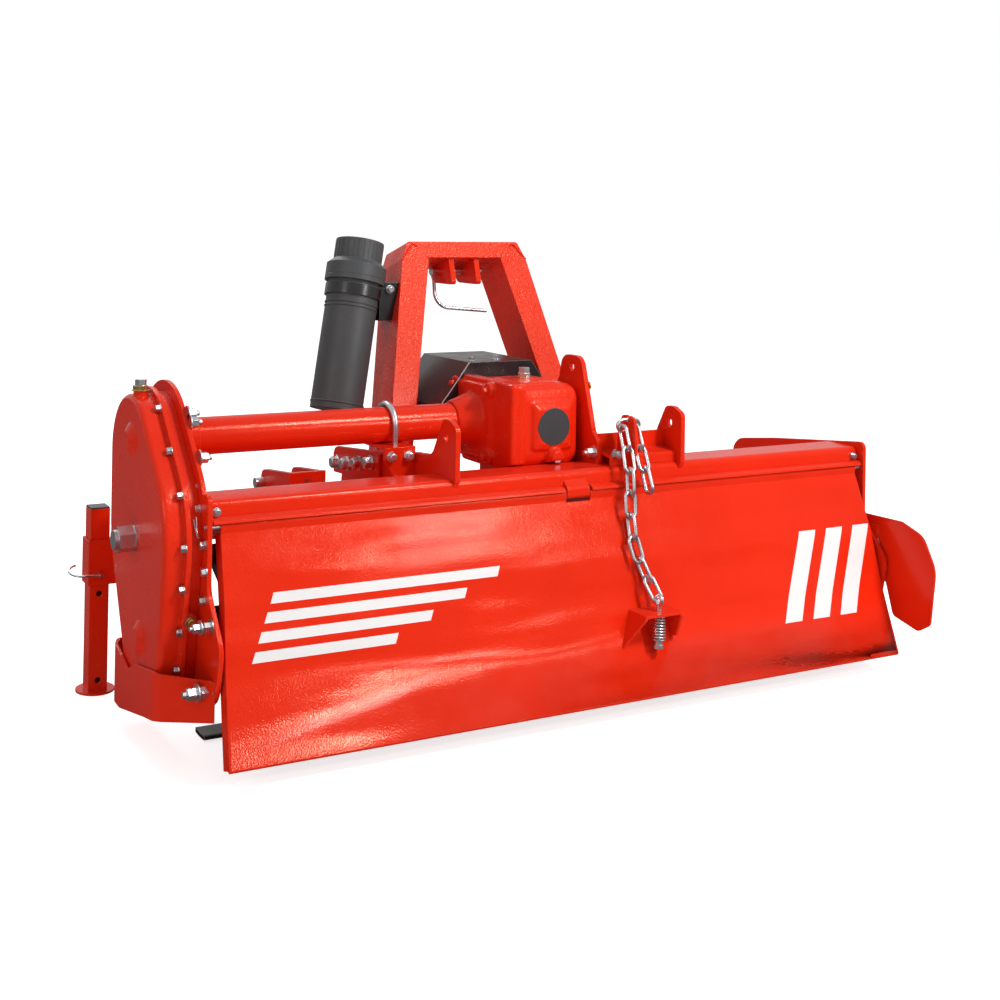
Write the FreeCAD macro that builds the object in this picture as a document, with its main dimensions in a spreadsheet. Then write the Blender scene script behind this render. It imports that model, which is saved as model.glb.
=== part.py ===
"""Rotary hoe (tractor rotary tiller) for a three-point hitch, as a parametric FreeCAD document.

Millimetres. +X points right and +Y forwards, seen from behind, and +Z up. The origin is on the
ground, halfway between the side plates, straight below the rotor's axis.
"""
import FreeCAD, Part
import math
import os
from types import SimpleNamespace

doc = FreeCAD.newDocument("RotaryHoe")
sheet = doc.addObject("Spreadsheet::Sheet", "Sizes")

SIZES = [
    # rotor
    ("rotor_radius", 192, "axis to the blades' tips"),
    ("rotor_gangs", 6, "flanges along the rotor"),
    ("blades_per_gang", 6, "blades on one flange"),
    ("gang_pitch", 246, "from one flange to the next"),
    ("rotor_tube_radius", 40, "rotor tube, outside"),
    ("flange_radius", 92, "flange that carries the blades"),
    ("flange_gauge", 8, "flange thickness"),
    ("blade_gauge", 8, "blade thickness"),
    ("blade_foot", 84, "length of the blade's bent foot"),
    ("blade_width", 46, "width of the blade's shank"),
    ("journal_radius", 20, "rotor's end journals"),
    ("journal_length", 30, "journal past the rotor's end plate"),
    ("running_gap", 0.05, "radial gap round a running shaft"),
    # hood and side plates
    ("hood_length", 1490, "hood between the side plates"),
    ("hood_gauge", 5, "hood sheet"),
    ("deck_height", 456, "top of the flat deck"),
    ("deck_rear", 8, "deck's rear bend ahead of the tailgate's hinge"),
    ("deck_depth", 81, "flat part of the deck, front to rear"),
    ("hood_front", 235, "front lip, ahead of the rotor's axis"),
    ("side_gauge", 8, "side plates"),
    ("side_rise", 13, "side plates above the deck"),
    ("side_low", 84, "side plates' lowest edge above the ground"),
    ("deck_fall", 62, "hood's fall from the deck to its knee"),
    ("hood_knee", 112, "hood's knee ahead of the rotor's axis"),
    ("hood_lip", 300, "hood's front lip above the ground"),
    # gear drive
    ("shaft_rise", 339, "drive shaft above the rotor's axis"),
    ("shaft_forward", 72, "drive shaft ahead of the rotor's axis"),
    ("case_depth", 67, "gear case, outer face to side plate"),
    ("case_top_radius", 113, "gear case round the drive shaft"),
    ("case_mid_radius", 166, "gear case round the idler gear"),
    ("case_low_radius", 112, "gear case round the rotor's axis"),
    ("case_flange", 23, "side plate's rim round the gear case"),
    ("case_base", 22, "gear case's base on the side plate"),
    ("case_rim", 12, "gear case's bolted rim, past its outline"),
    ("case_rim_gauge", 9, "gear case's bolted rim"),
    ("case_edge", 10, "rounding of the case's outer edge"),
    ("dome_radius", 34, "bearing dome on the case"),
    ("dome_height", 9, "dome's height"),
    ("nut_flats", 41, "idler nut across flats"),
    ("nut_height", 32, "idler nut's height"),
    ("tube_radius", 35, "drive tube, outside"),
    ("plug_flats", 22, "oil plugs across flats"),
    # gearbox
    ("box_left", 92, "gearbox left of the middle"),
    ("box_right", 75, "gearbox right of the middle"),
    ("box_rear", 138, "gearbox's rear face behind the drive shaft"),
    ("box_front", 50, "gearbox's front face ahead of the drive shaft"),
    ("box_half_height", 84, "gearbox above and below the drive shaft"),
    ("box_corner", 16, "gearbox's rounded corners"),
    ("cap_radius", 37, "rear bearing cap"),
    ("nose_radius", 51, "gearbox's front nose"),
    ("bell_length", 50, "bell that joins the tube to the gearbox"),
    ("bell_radius", 54, "bell at the gearbox's flange"),
    ("flange_half", 78, "gearbox's side flange, half its width"),
    ("flange_plate", 14, "gearbox's side flange"),
    ("pto_radius", 17.45, "splined input shaft"),
    ("pto_length", 82, "input shaft ahead of the gearbox"),
    ("pto_splines", 6, "splines"),
    # mast and hitch
    ("mast_top", 888, "top of the mast above the ground"),
    ("mast_top_half", 158, "mast's top, half its width"),
    ("mast_foot_half", 257, "mast's feet, half their spread"),
    ("mast_rear", 300, "mast's rear face ahead of the rotor's axis"),
    ("mast_lean", 17, "mast's forward lean, in degrees"),
    ("mast_depth", 104, "mast legs, front to rear"),
    ("mast_leg", 53, "mast legs, width across"),
    ("mast_wall", 6, "mast's plate"),
    ("beam_size", 60, "square front beam"),
    ("beam_height", 330, "front beam's middle above the ground"),
    ("beam_half", 450, "front beam, half its length"),
    ("ear_gauge", 12, "hitch ears"),
    ("lower_pin_spread", 768, "between the middles of the lower hitch ears"),
    ("lower_pin_radius", 11, "lower hitch pins"),
    ("lower_pin_length", 20, "lower hitch pin outside its ear"),
    ("lower_pin_height", 366, "lower hitch pins above the ground"),
    ("lower_pin_forward", 405, "lower hitch pins ahead of the rotor's axis"),
    ("hitch_gap", 58, "between the two ears of a lower hitch"),
    ("top_pin_radius", 9.5, "top link pin"),
    ("top_pin_drop", 68, "top link pin below the mast's top"),
    ("top_pin_forward", 352, "top link pin ahead of the rotor's axis"),
    ("top_ear_gap", 52, "between the top link's ears"),
    # deck fittings
    ("bracket_gauge", 10, "deck brackets"),
    ("bracket_ear", 109, "tall ear of a deck bracket above the deck"),
    ("bracket_low", 24, "low part of a deck bracket above the deck"),
    ("bracket_length", 500, "deck bracket, front to rear"),
    ("ear_hole", 9, "holes in the brackets' ears"),
    ("gusset_gauge", 10, "gearbox gusset"),
    ("gusset_place", 86, "gearbox gusset right of the middle"),
    ("u_bolt_wire", 6, "U-bolt's radius"),
    ("u_bolt_place", 300, "U-bolt left of the middle"),
    # parking stand
    ("stand_place", 55, "parking stand left of the left end plate"),
    ("stand_forward", 322, "parking stand ahead of the rotor's axis"),
    ("stand_tube", 38, "stand's square tube"),
    ("stand_wall", 3, "stand tube's wall"),
    ("stand_length", 356, "stand above its foot"),
    ("stand_gap", 0.5, "gap between the stand and its sleeve"),
    ("sleeve_wall", 4, "sleeve's wall"),
    ("sleeve_length", 88, "sleeve"),
    ("sleeve_low", 212, "sleeve's lower end above the ground"),
    ("foot_radius", 38, "stand's foot"),
    ("foot_gauge", 4, "stand's foot plate"),
    # skids and deflector
    ("skid_gauge", 5, "skid plate"),
    ("skid_low", 42, "skid's lower edge above the ground"),
    ("skid_high", 160, "skid's upper edge above the ground"),
    ("fin_gauge", 4, "side deflector"),
    ("fin_reach", 354, "deflector's tip behind the rotor's axis"),
    # tailgate
    ("gate_gap", 18, "between the tailgate and each end plate"),
    ("gate_flare", 20, "how much further the tailgate reaches at its lower edge"),
    ("gate_gauge", 4, "tailgate sheet"),
    ("gate_end_depth", 28, "tailgate's end plates"),
    ("hinge_back", 151, "tailgate's hinge behind the rotor's axis"),
    ("hinge_height", 412, "tailgate's hinge above the ground"),
    ("hinge_rod", 4.5, "hinge rod's radius"),
    ("knuckle_radius", 8, "hinge knuckles"),
    ("clip_left", -22, "left end of the hood's hinge clip"),
    ("clip_length", 52, "hinge clip"),
    ("bend_back", 47, "tailgate's upper bend behind its hinge"),
    ("bend_height", 291, "tailgate's upper bend above the ground"),
    ("low_bend_back", 75, "tailgate's lower bend behind its hinge"),
    ("low_bend_height", 178, "tailgate's lower bend above the ground"),
    ("lip_back", 119, "tailgate's lower edge behind its hinge"),
    ("lip_height", 41, "tailgate's lower edge above the ground"),
    ("lip_fold", 18, "tailgate's folded lower lip"),
    # chain and its spring
    ("chain_place", 135, "chain right of the middle"),
    ("eye_right", -8, "eye bolt right of the chain hook"),
    ("link_wire", 3, "chain wire's radius"),
    ("link_inside", 42, "inside length of a link"),
    ("link_half", 11, "half a link's outside width"),
    ("hook_height", 536, "chain hook's seat above the ground"),
    ("hook_ahead", 11, "chain hook's seat ahead of the tailgate's hinge"),
    ("eye_height", 218, "eye bolt's ring above the ground"),
    ("eye_back", 104, "eye bolt's ring behind the tailgate's hinge"),
    ("spring_radius", 12, "spring coil's radius"),
    ("spring_wire", 2, "spring wire's radius"),
    ("spring_length", 46, "spring"),
    # document tube
    ("tube_case_radius", 56, "document tube, outside"),
    ("tube_case_wall", 3, "document tube's wall"),
    ("tube_case_length", 300, "document tube below its cap"),
    ("cap_case_length", 72, "document tube's cap"),
    ("cap_case_gap", 0.5, "gap between cap and tube"),
]

for row, (alias, value, note) in enumerate(SIZES, start=1):
    sheet.set(f"A{row}", note)
    sheet.set(f"B{row}", str(value))
    sheet.setAlias(f"B{row}", alias)
doc.recompute()
v = SimpleNamespace(**{alias: float(sheet.get(alias)) for alias, value, note in SIZES})

EYE_RADIUS = 9
EYE_WIRE = 3.5
X_AXIS = FreeCAD.Vector(1, 0, 0)
Y_AXIS = FreeCAD.Vector(0, 1, 0)
Z_AXIS = FreeCAD.Vector(0, 0, 1)
PLANES = {
    "YZ": FreeCAD.Rotation(Y_AXIS, Z_AXIS, X_AXIS, "ZXY"),
    "XZ": FreeCAD.Rotation(X_AXIS, Z_AXIS, -Y_AXIS, "ZXY"),
    "XY": FreeCAD.Rotation(),
}
pieces = {}


# ---------------------------------------------------------------- helpers

def vec(x, y, z=0.0):
    return FreeCAD.Vector(x, y, z)


def bind(thing, **sizes):
    """Ties properties of an object to expressions on the sheet."""
    for name, expression in sizes.items():
        thing.setExpression(name, expression)
    return thing


def block(name, at, length, width, height):
    """A box with its lowest corner at a point and its sizes bound to the sheet."""
    box = doc.addObject("Part::Box", name)
    box.Placement.Base = vec(*at)
    return bind(box, Length=length, Width=width, Height=height)


def turn_to(axis):
    return FreeCAD.Rotation(Z_AXIS, axis)


def rod(name, at, axis, radius, length):
    """A cylinder from a point along an axis, its sizes bound to the sheet."""
    bar = doc.addObject("Part::Cylinder", name)
    bar.Placement = FreeCAD.Placement(vec(*at), turn_to(axis))
    return bind(bar, Radius=radius, Height=length)


def taper(name, at, axis, radius, far_radius, length):
    """A cone from a point along an axis, its sizes bound to the sheet."""
    cone = doc.addObject("Part::Cone", name)
    cone.Placement = FreeCAD.Placement(vec(*at), turn_to(axis))
    return bind(cone, Radius1=radius, Radius2=far_radius, Height=length)


def hexagon(name, at, axis, flats, length):
    """A hexagonal prism across flats, its sizes bound to the sheet."""
    prism = doc.addObject("Part::Prism", name)
    prism.Polygon = 6
    prism.Placement = FreeCAD.Placement(vec(*at), turn_to(axis))
    return bind(prism, Circumradius=f"({flats}) / 2 / cos(30 deg)", Height=length)


def corner_arc(before, corner, after, radius):
    """The two tangent points and the middle of a rounded corner."""
    to_before = (before - corner).normalize()
    to_after = (after - corner).normalize()
    half = to_before.getAngle(to_after) / 2
    reach = radius / math.tan(half)
    bisector = (to_before + to_after).normalize()
    centre = corner + bisector * (radius / math.sin(half))
    return corner + to_before * reach, centre - bisector * radius, corner + to_after * reach


def loop_edges(points):
    """Closed outline of straight runs; a third number on a point rounds that corner."""
    corners = [vec(p[0], p[1]) for p in points]
    radii = [p[2] if len(p) > 2 else 0 for p in points]
    edges = []
    starts = []
    ends = []
    for i, corner in enumerate(corners):
        if radii[i]:
            following = corners[(i + 1) % len(corners)]
            first, middle, last = corner_arc(corners[i - 1], corner, following, radii[i])
            edges.append((i, Part.Arc(first, middle, last)))
            starts.append(first)
            ends.append(last)
        else:
            starts.append(corner)
            ends.append(corner)
    for i in range(len(corners)):
        run_from, run_to = ends[i], starts[(i + 1) % len(corners)]
        if (run_to - run_from).Length > 1e-6:
            edges.append((i + 0.5, Part.LineSegment(run_from, run_to)))
    return [edge for _, edge in sorted(edges, key=lambda pair: pair[0])]


def tangent_points(first, first_radius, second, second_radius):
    """Ends of the tangent that leaves two circles on its right, going from the first to the second."""
    first, second = vec(*first), vec(*second)
    along = second - first
    turn = math.atan2(along.y, along.x) + math.acos((first_radius - second_radius) / along.Length)
    normal = vec(math.cos(turn), math.sin(turn))
    return first + normal * first_radius, second + normal * second_radius


def case_outline(grow=0.0):
    """Gear case in the YZ plane: arcs round the shaft, the idler gear and the rotor, and their tangents."""
    top = (case_top, v.case_top_radius + grow)
    middle = (case_middle, v.case_mid_radius + grow)
    low = (case_low, v.case_low_radius + grow)
    stops = [top, middle, low, middle]
    runs = [tangent_points(*here, *there) for here, there in zip(stops, stops[1:] + stops[:1])]
    edges = []
    for i, (start, end) in enumerate(runs):
        edges.append(Part.LineSegment(start, end))
        centre, radius = stops[(i + 1) % 4]
        leave = runs[(i + 1) % 4][0]
        outwards = (end + leave) * 0.5 - vec(*centre)
        edges.append(Part.Arc(end, vec(*centre) + outwards.normalize() * radius, leave))
    return edges


def slab(name, plane, at, edges, thickness):
    """A sketched outline pushed out by a thickness that is bound to the sheet."""
    sketch = doc.addObject("Sketcher::SketchObject", name + "_outline")
    sketch.addGeometry(edges, False)
    sketch.Placement = FreeCAD.Placement(vec(*at), PLANES[plane])
    push = doc.addObject("Part::Extrusion", name)
    push.Base = sketch
    push.DirMode = "Normal"
    push.Solid = True
    return bind(push, LengthFwd=thickness)


def join(name, *parts):
    fuse = doc.addObject("Part::MultiFuse", name)
    fuse.Shapes = list(parts)
    fuse.Refine = True
    return fuse


def carve(name, base, *tools):
    """The base without its tools."""
    tool = tools[0] if len(tools) == 1 else join(name + "_tools", *tools)
    cut = doc.addObject("Part::Cut", name)
    cut.Base = base
    cut.Tool = tool
    cut.Refine = True
    return cut


def group(name, *parts):
    """Like pieces that don't touch, in one node."""
    compound = doc.addObject("Part::Compound", name)
    compound.Links = list(parts)
    return compound


def shaped(name, shape):
    """A piece whose form is a sweep or a row of turned copies."""
    feature = doc.addObject("Part::Feature", name)
    feature.Shape = shape
    return feature


def piece(node, thing):
    thing.Label = node
    pieces[node] = thing
    return thing


def swept_wire(points, radius):
    """A round wire along straight runs and arcs: a 3-point item is start, middle, end of an arc."""
    edges = []
    for run in points:
        ends = [vec(*p) for p in run]
        edges.append(Part.Arc(*ends).toShape() if len(ends) == 3 else Part.LineSegment(*ends).toShape())
    path = Part.Wire(edges)
    start = edges[0].valueAt(edges[0].FirstParameter)
    heading = edges[0].tangentAt(edges[0].FirstParameter)
    profile = Part.Wire(Part.Circle(start, heading, radius).toShape())
    return path.makePipeShell([profile], True, True)


# ---------------------------------------------------------------- places shared by several pieces

inner = v.hood_length / 2
outer = inner + v.side_gauge
deck_rear = v.hinge_back - v.deck_rear
axis_z = v.rotor_radius
shaft_y = v.shaft_forward
shaft_z = axis_z + v.shaft_rise
idler = (shaft_y / 2, axis_z + v.shaft_rise / 2)
case_middle = (30, axis_z + 180)
case_top = (shaft_y + 12, shaft_z - 31)
case_low = (0, axis_z)
level_y, level_z = case_low[0] - v.case_low_radius - 10, 252
case_face = -outer - v.case_depth
plug_x = case_face + 18


# ---------------------------------------------------------------- hood and side plates

def hood_profile():
    """Outside of the hood from its rear edge over the deck to the front lip."""
    return [
        (-deck_rear - 3, v.hinge_height + 14),
        (-deck_rear, v.deck_height, 12),
        (-deck_rear + v.deck_depth, v.deck_height, 40),
        (v.hood_knee, v.deck_height - v.deck_fall, 60),
        (v.hood_front, v.hood_lip),
    ]


def hood_inside():
    """The same sheet's inside, from the front lip back to the rear edge."""
    gauge = v.hood_gauge
    return [
        (v.hood_front - gauge * 0.7, v.hood_lip - gauge * 0.7),
        (v.hood_knee - gauge * 0.5, v.deck_height - v.deck_fall - gauge * 1.1, 55),
        (-deck_rear + v.deck_depth - gauge * 0.2, v.deck_height - gauge, 35),
        (-deck_rear + gauge, v.deck_height - gauge, 7),
        (-deck_rear - 3 + gauge, v.hinge_height + 14),
    ]


def make_hood():
    sheet_metal = slab("hood_sheet", "YZ", (-inner, 0, 0), loop_edges(hood_profile() + hood_inside()),
                       "Sizes.hood_length")
    back, pivot = -v.hinge_back, v.hinge_height
    barrel = rod("hood_knuckle", (v.clip_left, back, pivot), X_AXIS, "Sizes.knuckle_radius",
                 "Sizes.clip_length")
    strap = slab("hood_strap", "YZ", (v.clip_left, 0, 0), loop_edges([
        (back - v.knuckle_radius, pivot), (back, pivot), (back + v.knuckle_radius, pivot + 2),
        (-deck_rear + 3, pivot + 16), (-deck_rear + 1, pivot + 26), (-deck_rear - 2, pivot + 26),
        (back - v.knuckle_radius, pivot + 12, 8)]), "Sizes.clip_length")
    bore = rod("hood_hinge_bore", (v.clip_left - 1, back, pivot), X_AXIS,
               "Sizes.hinge_rod + Sizes.running_gap", "Sizes.clip_length + 2")
    piece("hood", carve("hood", join("hood_joined", sheet_metal, barrel, strap), bore))


def side_outline():
    """Side plate in the YZ plane, from the rear top corner round the front, the rotor and the rear lobe."""
    top = v.deck_height + v.side_rise
    back = v.hinge_back + 13
    return [
        (-back, top, 14),
        (120, top - 34, 60),
        (v.hood_front + 22, v.deck_height - 42, 40),
        (v.hood_front + 30, 270, 60),
        (190, 140, 60),
        (95, v.side_low, 60),
        (-130, v.side_low, 60),
        (-214, 140, 50),
        (-232, 226, 40),
        (-back, 308, 40),
    ]


def make_side_plates():
    left = slab("left_plate_blank", "YZ", (-outer, 0, 0), loop_edges(side_outline()), "Sizes.side_gauge")
    rim = slab("left_plate_rim", "YZ", (-outer, 0, 0), case_outline(v.case_flange), "Sizes.side_gauge")
    shaft_hole = rod("left_plate_hole", (-outer - 1, 0, axis_z), X_AXIS,
                     "Sizes.journal_radius + 12", "Sizes.side_gauge + 2")
    drive_hole = rod("left_plate_drive_hole", (-outer - 1, shaft_y, shaft_z), X_AXIS,
                     "Sizes.tube_radius - 6", "Sizes.side_gauge + 2")
    rod_hole = rod("left_plate_rod_hole", (-outer - 1, -v.hinge_back, v.hinge_height), X_AXIS,
                   "Sizes.hinge_rod + Sizes.running_gap", "Sizes.side_gauge + 2")
    piece("left_side_plate", carve("left_side_plate", join("left_plate_whole", left, rim),
                                   shaft_hole, drive_hole, rod_hole))
    right = slab("right_plate_blank", "YZ", (inner, 0, 0), loop_edges(side_outline()), "Sizes.side_gauge")
    right_hole = rod("right_plate_hole", (inner - 1, 0, axis_z), X_AXIS,
                     "Sizes.journal_radius + 12", "Sizes.side_gauge + 2")
    right_rod_hole = rod("right_plate_rod_hole", (inner - 1, -v.hinge_back, v.hinge_height), X_AXIS,
                         "Sizes.hinge_rod + Sizes.running_gap", "Sizes.side_gauge + 2")
    piece("right_side_plate", carve("right_side_plate", right, right_hole, right_rod_hole))


# ---------------------------------------------------------------- gear drive

def rounded(name, thing, face_x, radius):
    """The same thing with the edges that lie on one upright plane rounded."""
    doc.recompute()
    fillet = doc.addObject("Part::Fillet", name)
    fillet.Base = thing
    on_plane = [i + 1 for i, edge in enumerate(thing.Shape.Edges)
                if max(abs(corner.X - face_x) for corner in edge.Vertexes) < 0.01]
    fillet.Edges = [(i, radius, radius) for i in on_plane]
    return fillet


def make_gear_case():
    """A cover bolted by its flange to a shallow base on the side plate."""
    base, flange = v.case_base, v.case_rim_gauge
    lip = -outer - base - flange
    cover = slab("case_cover", "YZ", (case_face, 0, 0), case_outline(), str(lip - case_face + 1))
    rim = slab("case_rim", "YZ", (lip, 0, 0), case_outline(v.case_rim), str(flange))
    foot = slab("case_foot", "YZ", (-outer - base, 0, 0), case_outline(2), str(base))
    shell = join("case_shell", rounded("case_cover_round", cover, case_face, v.case_edge), rim, foot)
    domes = []
    for name, y, z in (("case_dome_top", shaft_y, shaft_z), ("case_dome_low", 0, axis_z)):
        domes.append(taper(name, (case_face + 1, y, z), -X_AXIS, "Sizes.dome_radius",
                           "Sizes.dome_radius - 16", "Sizes.dome_height + 1"))
    neck = rod("case_filler_neck", (plug_x, shaft_y, case_top[1] + v.case_top_radius - 6),
               Z_AXIS, "Sizes.plug_flats / 2 + 2", "14")
    boss = rod("case_level_boss", (case_face + v.case_depth * 0.7, level_y + 24, level_z), -Y_AXIS,
               "Sizes.plug_flats / 2 + 3", "38")
    bearing = rod("case_journal_bore", (-outer - v.journal_length + v.side_gauge, 0, axis_z), X_AXIS,
                  "Sizes.journal_radius + Sizes.running_gap", "Sizes.journal_length + 2")
    whole = join("case_joined", shell, *domes, neck, boss)
    piece("gear_case", carve("gear_case", whole, bearing))


def make_idler_nut():
    at = (case_face, idler[0], idler[1])
    washer = rod("nut_washer", at, -X_AXIS, "Sizes.nut_flats / 2 + 3", "3")
    flats = hexagon("nut_flats_prism", at, -X_AXIS, "Sizes.nut_flats", "Sizes.nut_height")
    collar = rod("nut_collar", at, -X_AXIS, "Sizes.nut_flats / 2 - 3", "Sizes.nut_height + 7")
    piece("idler_nut", join("idler_nut", washer, flats, collar))


def make_oil_plugs():
    filler_z = case_top[1] + v.case_top_radius + 8
    low = hexagon("filler_low", (plug_x, shaft_y, filler_z), Z_AXIS, "Sizes.plug_flats", "8")
    high = hexagon("filler_high", (plug_x, shaft_y, filler_z), Z_AXIS, "Sizes.plug_flats - 3", "20")
    level = hexagon("level_plug", (case_face + v.case_depth * 0.7, level_y - 14, level_z), -Y_AXIS,
                    "Sizes.plug_flats - 4", "9")
    box_top = shaft_z + v.box_half_height
    breather_low = hexagon("breather_low", (-12, shaft_y - 52, box_top + 4), Z_AXIS, "Sizes.plug_flats + 2",
                           "9")
    breather_high = hexagon("breather_high", (-12, shaft_y - 52, box_top + 4), Z_AXIS, "Sizes.plug_flats - 1",
                            "20")
    drain = hexagon("drain_plug", (6, shaft_y - v.box_rear - 10, shaft_z - 62), -Y_AXIS,
                    "Sizes.plug_flats - 4", "6")
    piece("oil_plugs", group("oil_plugs", join("case_filler", low, high), level,
                             join("box_breather", breather_low, breather_high), drain))


def make_drive_tube():
    start = -inner
    end = -v.box_left - v.flange_plate - v.bell_length
    tube = rod("drive_tube_blank", (start, shaft_y, shaft_z), X_AXIS, "Sizes.tube_radius", str(end - start))
    collar = rod("drive_tube_collar", (start, shaft_y, shaft_z), X_AXIS, "Sizes.tube_radius + 4", "46")
    core = rod("drive_tube_core", (start - 1, shaft_y, shaft_z), X_AXIS, "Sizes.tube_radius - 6",
               str(end - start + 2))
    piece("drive_tube", carve("drive_tube", join("drive_tube_joined", tube, collar), core))


def make_gearbox():
    left = -v.box_left
    height = v.box_half_height
    rear = shaft_y - v.box_rear
    front = shaft_y + v.box_front
    corner = v.box_corner
    outline = loop_edges([
        (rear, shaft_z - height, corner), (front, shaft_z - height, corner),
        (front, shaft_z + height, corner), (rear, shaft_z + height, corner),
    ])
    body = slab("box_body", "YZ", (left, 0, 0), outline, "Sizes.box_left + Sizes.box_right")
    half = v.flange_half
    flange_outline = loop_edges([
        (shaft_y - half, shaft_z - half, 26), (shaft_y + half, shaft_z - half, 26),
        (shaft_y + half, shaft_z + half, 26), (shaft_y - half, shaft_z + half, 26),
    ])
    flange = slab("box_flange", "YZ", (left - v.flange_plate, 0, 0), flange_outline, "Sizes.flange_plate")
    bell = taper("box_bell", (left - v.flange_plate, shaft_y, shaft_z), -X_AXIS, "Sizes.bell_radius",
                 "Sizes.tube_radius + 5", "Sizes.bell_length")
    boss_outline = loop_edges([(-52, shaft_z - 50, 22), (52, shaft_z - 50, 22), (52, shaft_z + 50, 22),
                               (-52, shaft_z + 50, 22)])
    boss = slab("box_rear_boss", "XZ", (0, rear + 1, 0), boss_outline, "8")
    drain_boss = rod("box_drain_boss", (6, rear + 1, shaft_z - 62), -Y_AXIS, "15", "11")
    top_boss = rod("box_breather_boss", (-12, shaft_y - 52, shaft_z + height - 1), Z_AXIS, "18", "5")
    nose = rod("box_nose", (0, front - 1, shaft_z), Y_AXIS, "Sizes.nose_radius", "13")
    pto_bore = rod("box_pto_bore", (0, front - 30, shaft_z), Y_AXIS,
                   "Sizes.pto_radius + 3 + Sizes.running_gap",
                   "44")
    foot = block("box_foot", (-62, shaft_y - 60, v.deck_height - 60), "124", "100", "120")
    whole = join("box_joined", body, flange, bell, boss, drain_boss, top_boss, nose, foot)
    piece("gearbox", carve("gearbox", whole, pto_bore, under_hood("box_under")))
    cap = rod("gearbox_cap", (0, rear - 7, shaft_z), -Y_AXIS, "Sizes.cap_radius", "3")
    piece("gearbox_cap", cap)


def make_gusset():
    """Plate on the gearbox's right side, from the deck up to an eye for lifting."""
    deck = v.deck_height
    eye_y, eye_z = shaft_y - 79, deck + 184
    outline = [
        (-104, deck), (-104, deck + 42, 8), (-84, deck + 62, 10), (eye_y - 32, deck + 208, 26),
        (eye_y + 34, deck + 208, 26), (eye_y + 44, deck + 160, 20), (shaft_y + 30, deck + 60, 20),
        (shaft_y + 30, deck - 60), (-62, deck - 60),
    ]
    blank = slab("gusset_blank", "YZ", (v.gusset_place, 0, 0), loop_edges(outline), "Sizes.gusset_gauge")
    eye = rod("gusset_eye", (v.gusset_place - 1, eye_y, eye_z), X_AXIS, "Sizes.ear_hole",
              "Sizes.gusset_gauge + 2")
    piece("gearbox_gusset", carve("gearbox_gusset", blank, eye, under_hood("gusset_under")))
    pad = block("gusset_spacer", (v.box_right, shaft_y - 72, shaft_z - 30),
                "Sizes.gusset_place - Sizes.box_right", "84", "60")
    piece("gusset_spacer", pad)


def under_hood(name):
    """Everything below the hood's outer face: what stands on the hood is cut by it."""
    return slab(name, "YZ", (-inner, 0, 0), loop_edges(
        hood_profile() + [(v.hood_front, 100), (-deck_rear - 3, 100)]), "Sizes.hood_length")


def make_pto_shaft():
    front = shaft_y + v.box_front
    journal = rod("pto_journal", (0, front - 29, shaft_z), Y_AXIS, "Sizes.pto_radius + 3", "46")
    splined = rod("pto_splined", (0, front, shaft_z), Y_AXIS, "Sizes.pto_radius", "Sizes.pto_length")
    grooves = []
    for i in range(int(v.pto_splines)):
        angle = math.radians(i * 360 / v.pto_splines)
        groove = block(f"pto_groove_{i}", (0, 0, 0), "7", "Sizes.pto_length - 18", "6")
        radius = v.pto_radius - 2.6
        groove.Placement = FreeCAD.Placement(
            vec(radius * math.sin(angle) - 3.5 * math.cos(angle), front + 20,
                shaft_z + radius * math.cos(angle) + 3.5 * math.sin(angle)),
            FreeCAD.Rotation(Y_AXIS, math.degrees(angle)))
        grooves.append(groove)
    piece("pto_shaft", carve("pto_shaft", join("pto_joined", journal, splined), *grooves))


# ---------------------------------------------------------------- rotor

def make_rotor():
    half = (v.rotor_gangs * v.gang_pitch) / 2
    tube_end = inner - 8
    tube = rod("rotor_tube", (-tube_end, 0, axis_z), X_AXIS, "Sizes.rotor_tube_radius", str(2 * tube_end))
    journals = rod("rotor_journals", (-inner - v.journal_length + 1, 0, axis_z), X_AXIS,
                   "Sizes.journal_radius", "Sizes.hood_length + 2 * Sizes.journal_length - 2")
    flanges = []
    for i in range(int(v.rotor_gangs)):
        x = -half + v.gang_pitch * (i + 0.5)
        flanges.append(rod(f"rotor_flange_{i}", (x - v.flange_gauge / 2, 0, axis_z), X_AXIS,
                           "Sizes.flange_radius", "Sizes.flange_gauge"))
    piece("rotor_shaft", join("rotor_shaft", tube, journals, *flanges))


def blade_shape():
    """One L-shaped blade, hanging straight down at the origin with its foot towards +X."""
    radius, gauge, width = v.rotor_radius, v.blade_gauge, v.blade_width
    shank_top = v.rotor_tube_radius + 8
    shank = Part.Face(Part.Wire([
        Part.LineSegment(vec(0, -width * 0.42, -shank_top), vec(0, width * 0.42, -shank_top)).toShape(),
        Part.LineSegment(vec(0, width * 0.42, -shank_top), vec(0, width * 0.5, -radius * 0.88)).toShape(),
        Part.Arc(vec(0, width * 0.5, -radius * 0.88), vec(0, 0, -radius * 0.9),
                 vec(0, -width * 0.5, -radius * 0.88)).toShape(),
        Part.LineSegment(vec(0, -width * 0.5, -radius * 0.88), vec(0, -width * 0.42, -shank_top)).toShape(),
    ])).extrude(X_AXIS * gauge)
    tip = Part.makeCylinder(radius, v.blade_foot, vec(0, 0, 0), X_AXIS)
    tip = tip.cut(Part.makeCylinder(radius - gauge, v.blade_foot, vec(0, 0, 0), X_AXIS))
    window = Part.Face(Part.makePolygon([
        vec(0, -width * 0.52, -radius * 0.5), vec(0, width * 0.52, -radius * 0.5),
        vec(0, width * 0.52, -radius * 1.1), vec(0, -width * 0.52, -radius * 1.1),
        vec(0, -width * 0.52, -radius * 0.5)])).extrude(X_AXIS * v.blade_foot)
    foot = tip.common(window)
    web = Part.makeBox(gauge, width, radius * 0.12, vec(0, -width / 2, -radius * 0.97))
    return shank.fuse([foot, web]).removeSplitter()


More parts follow.
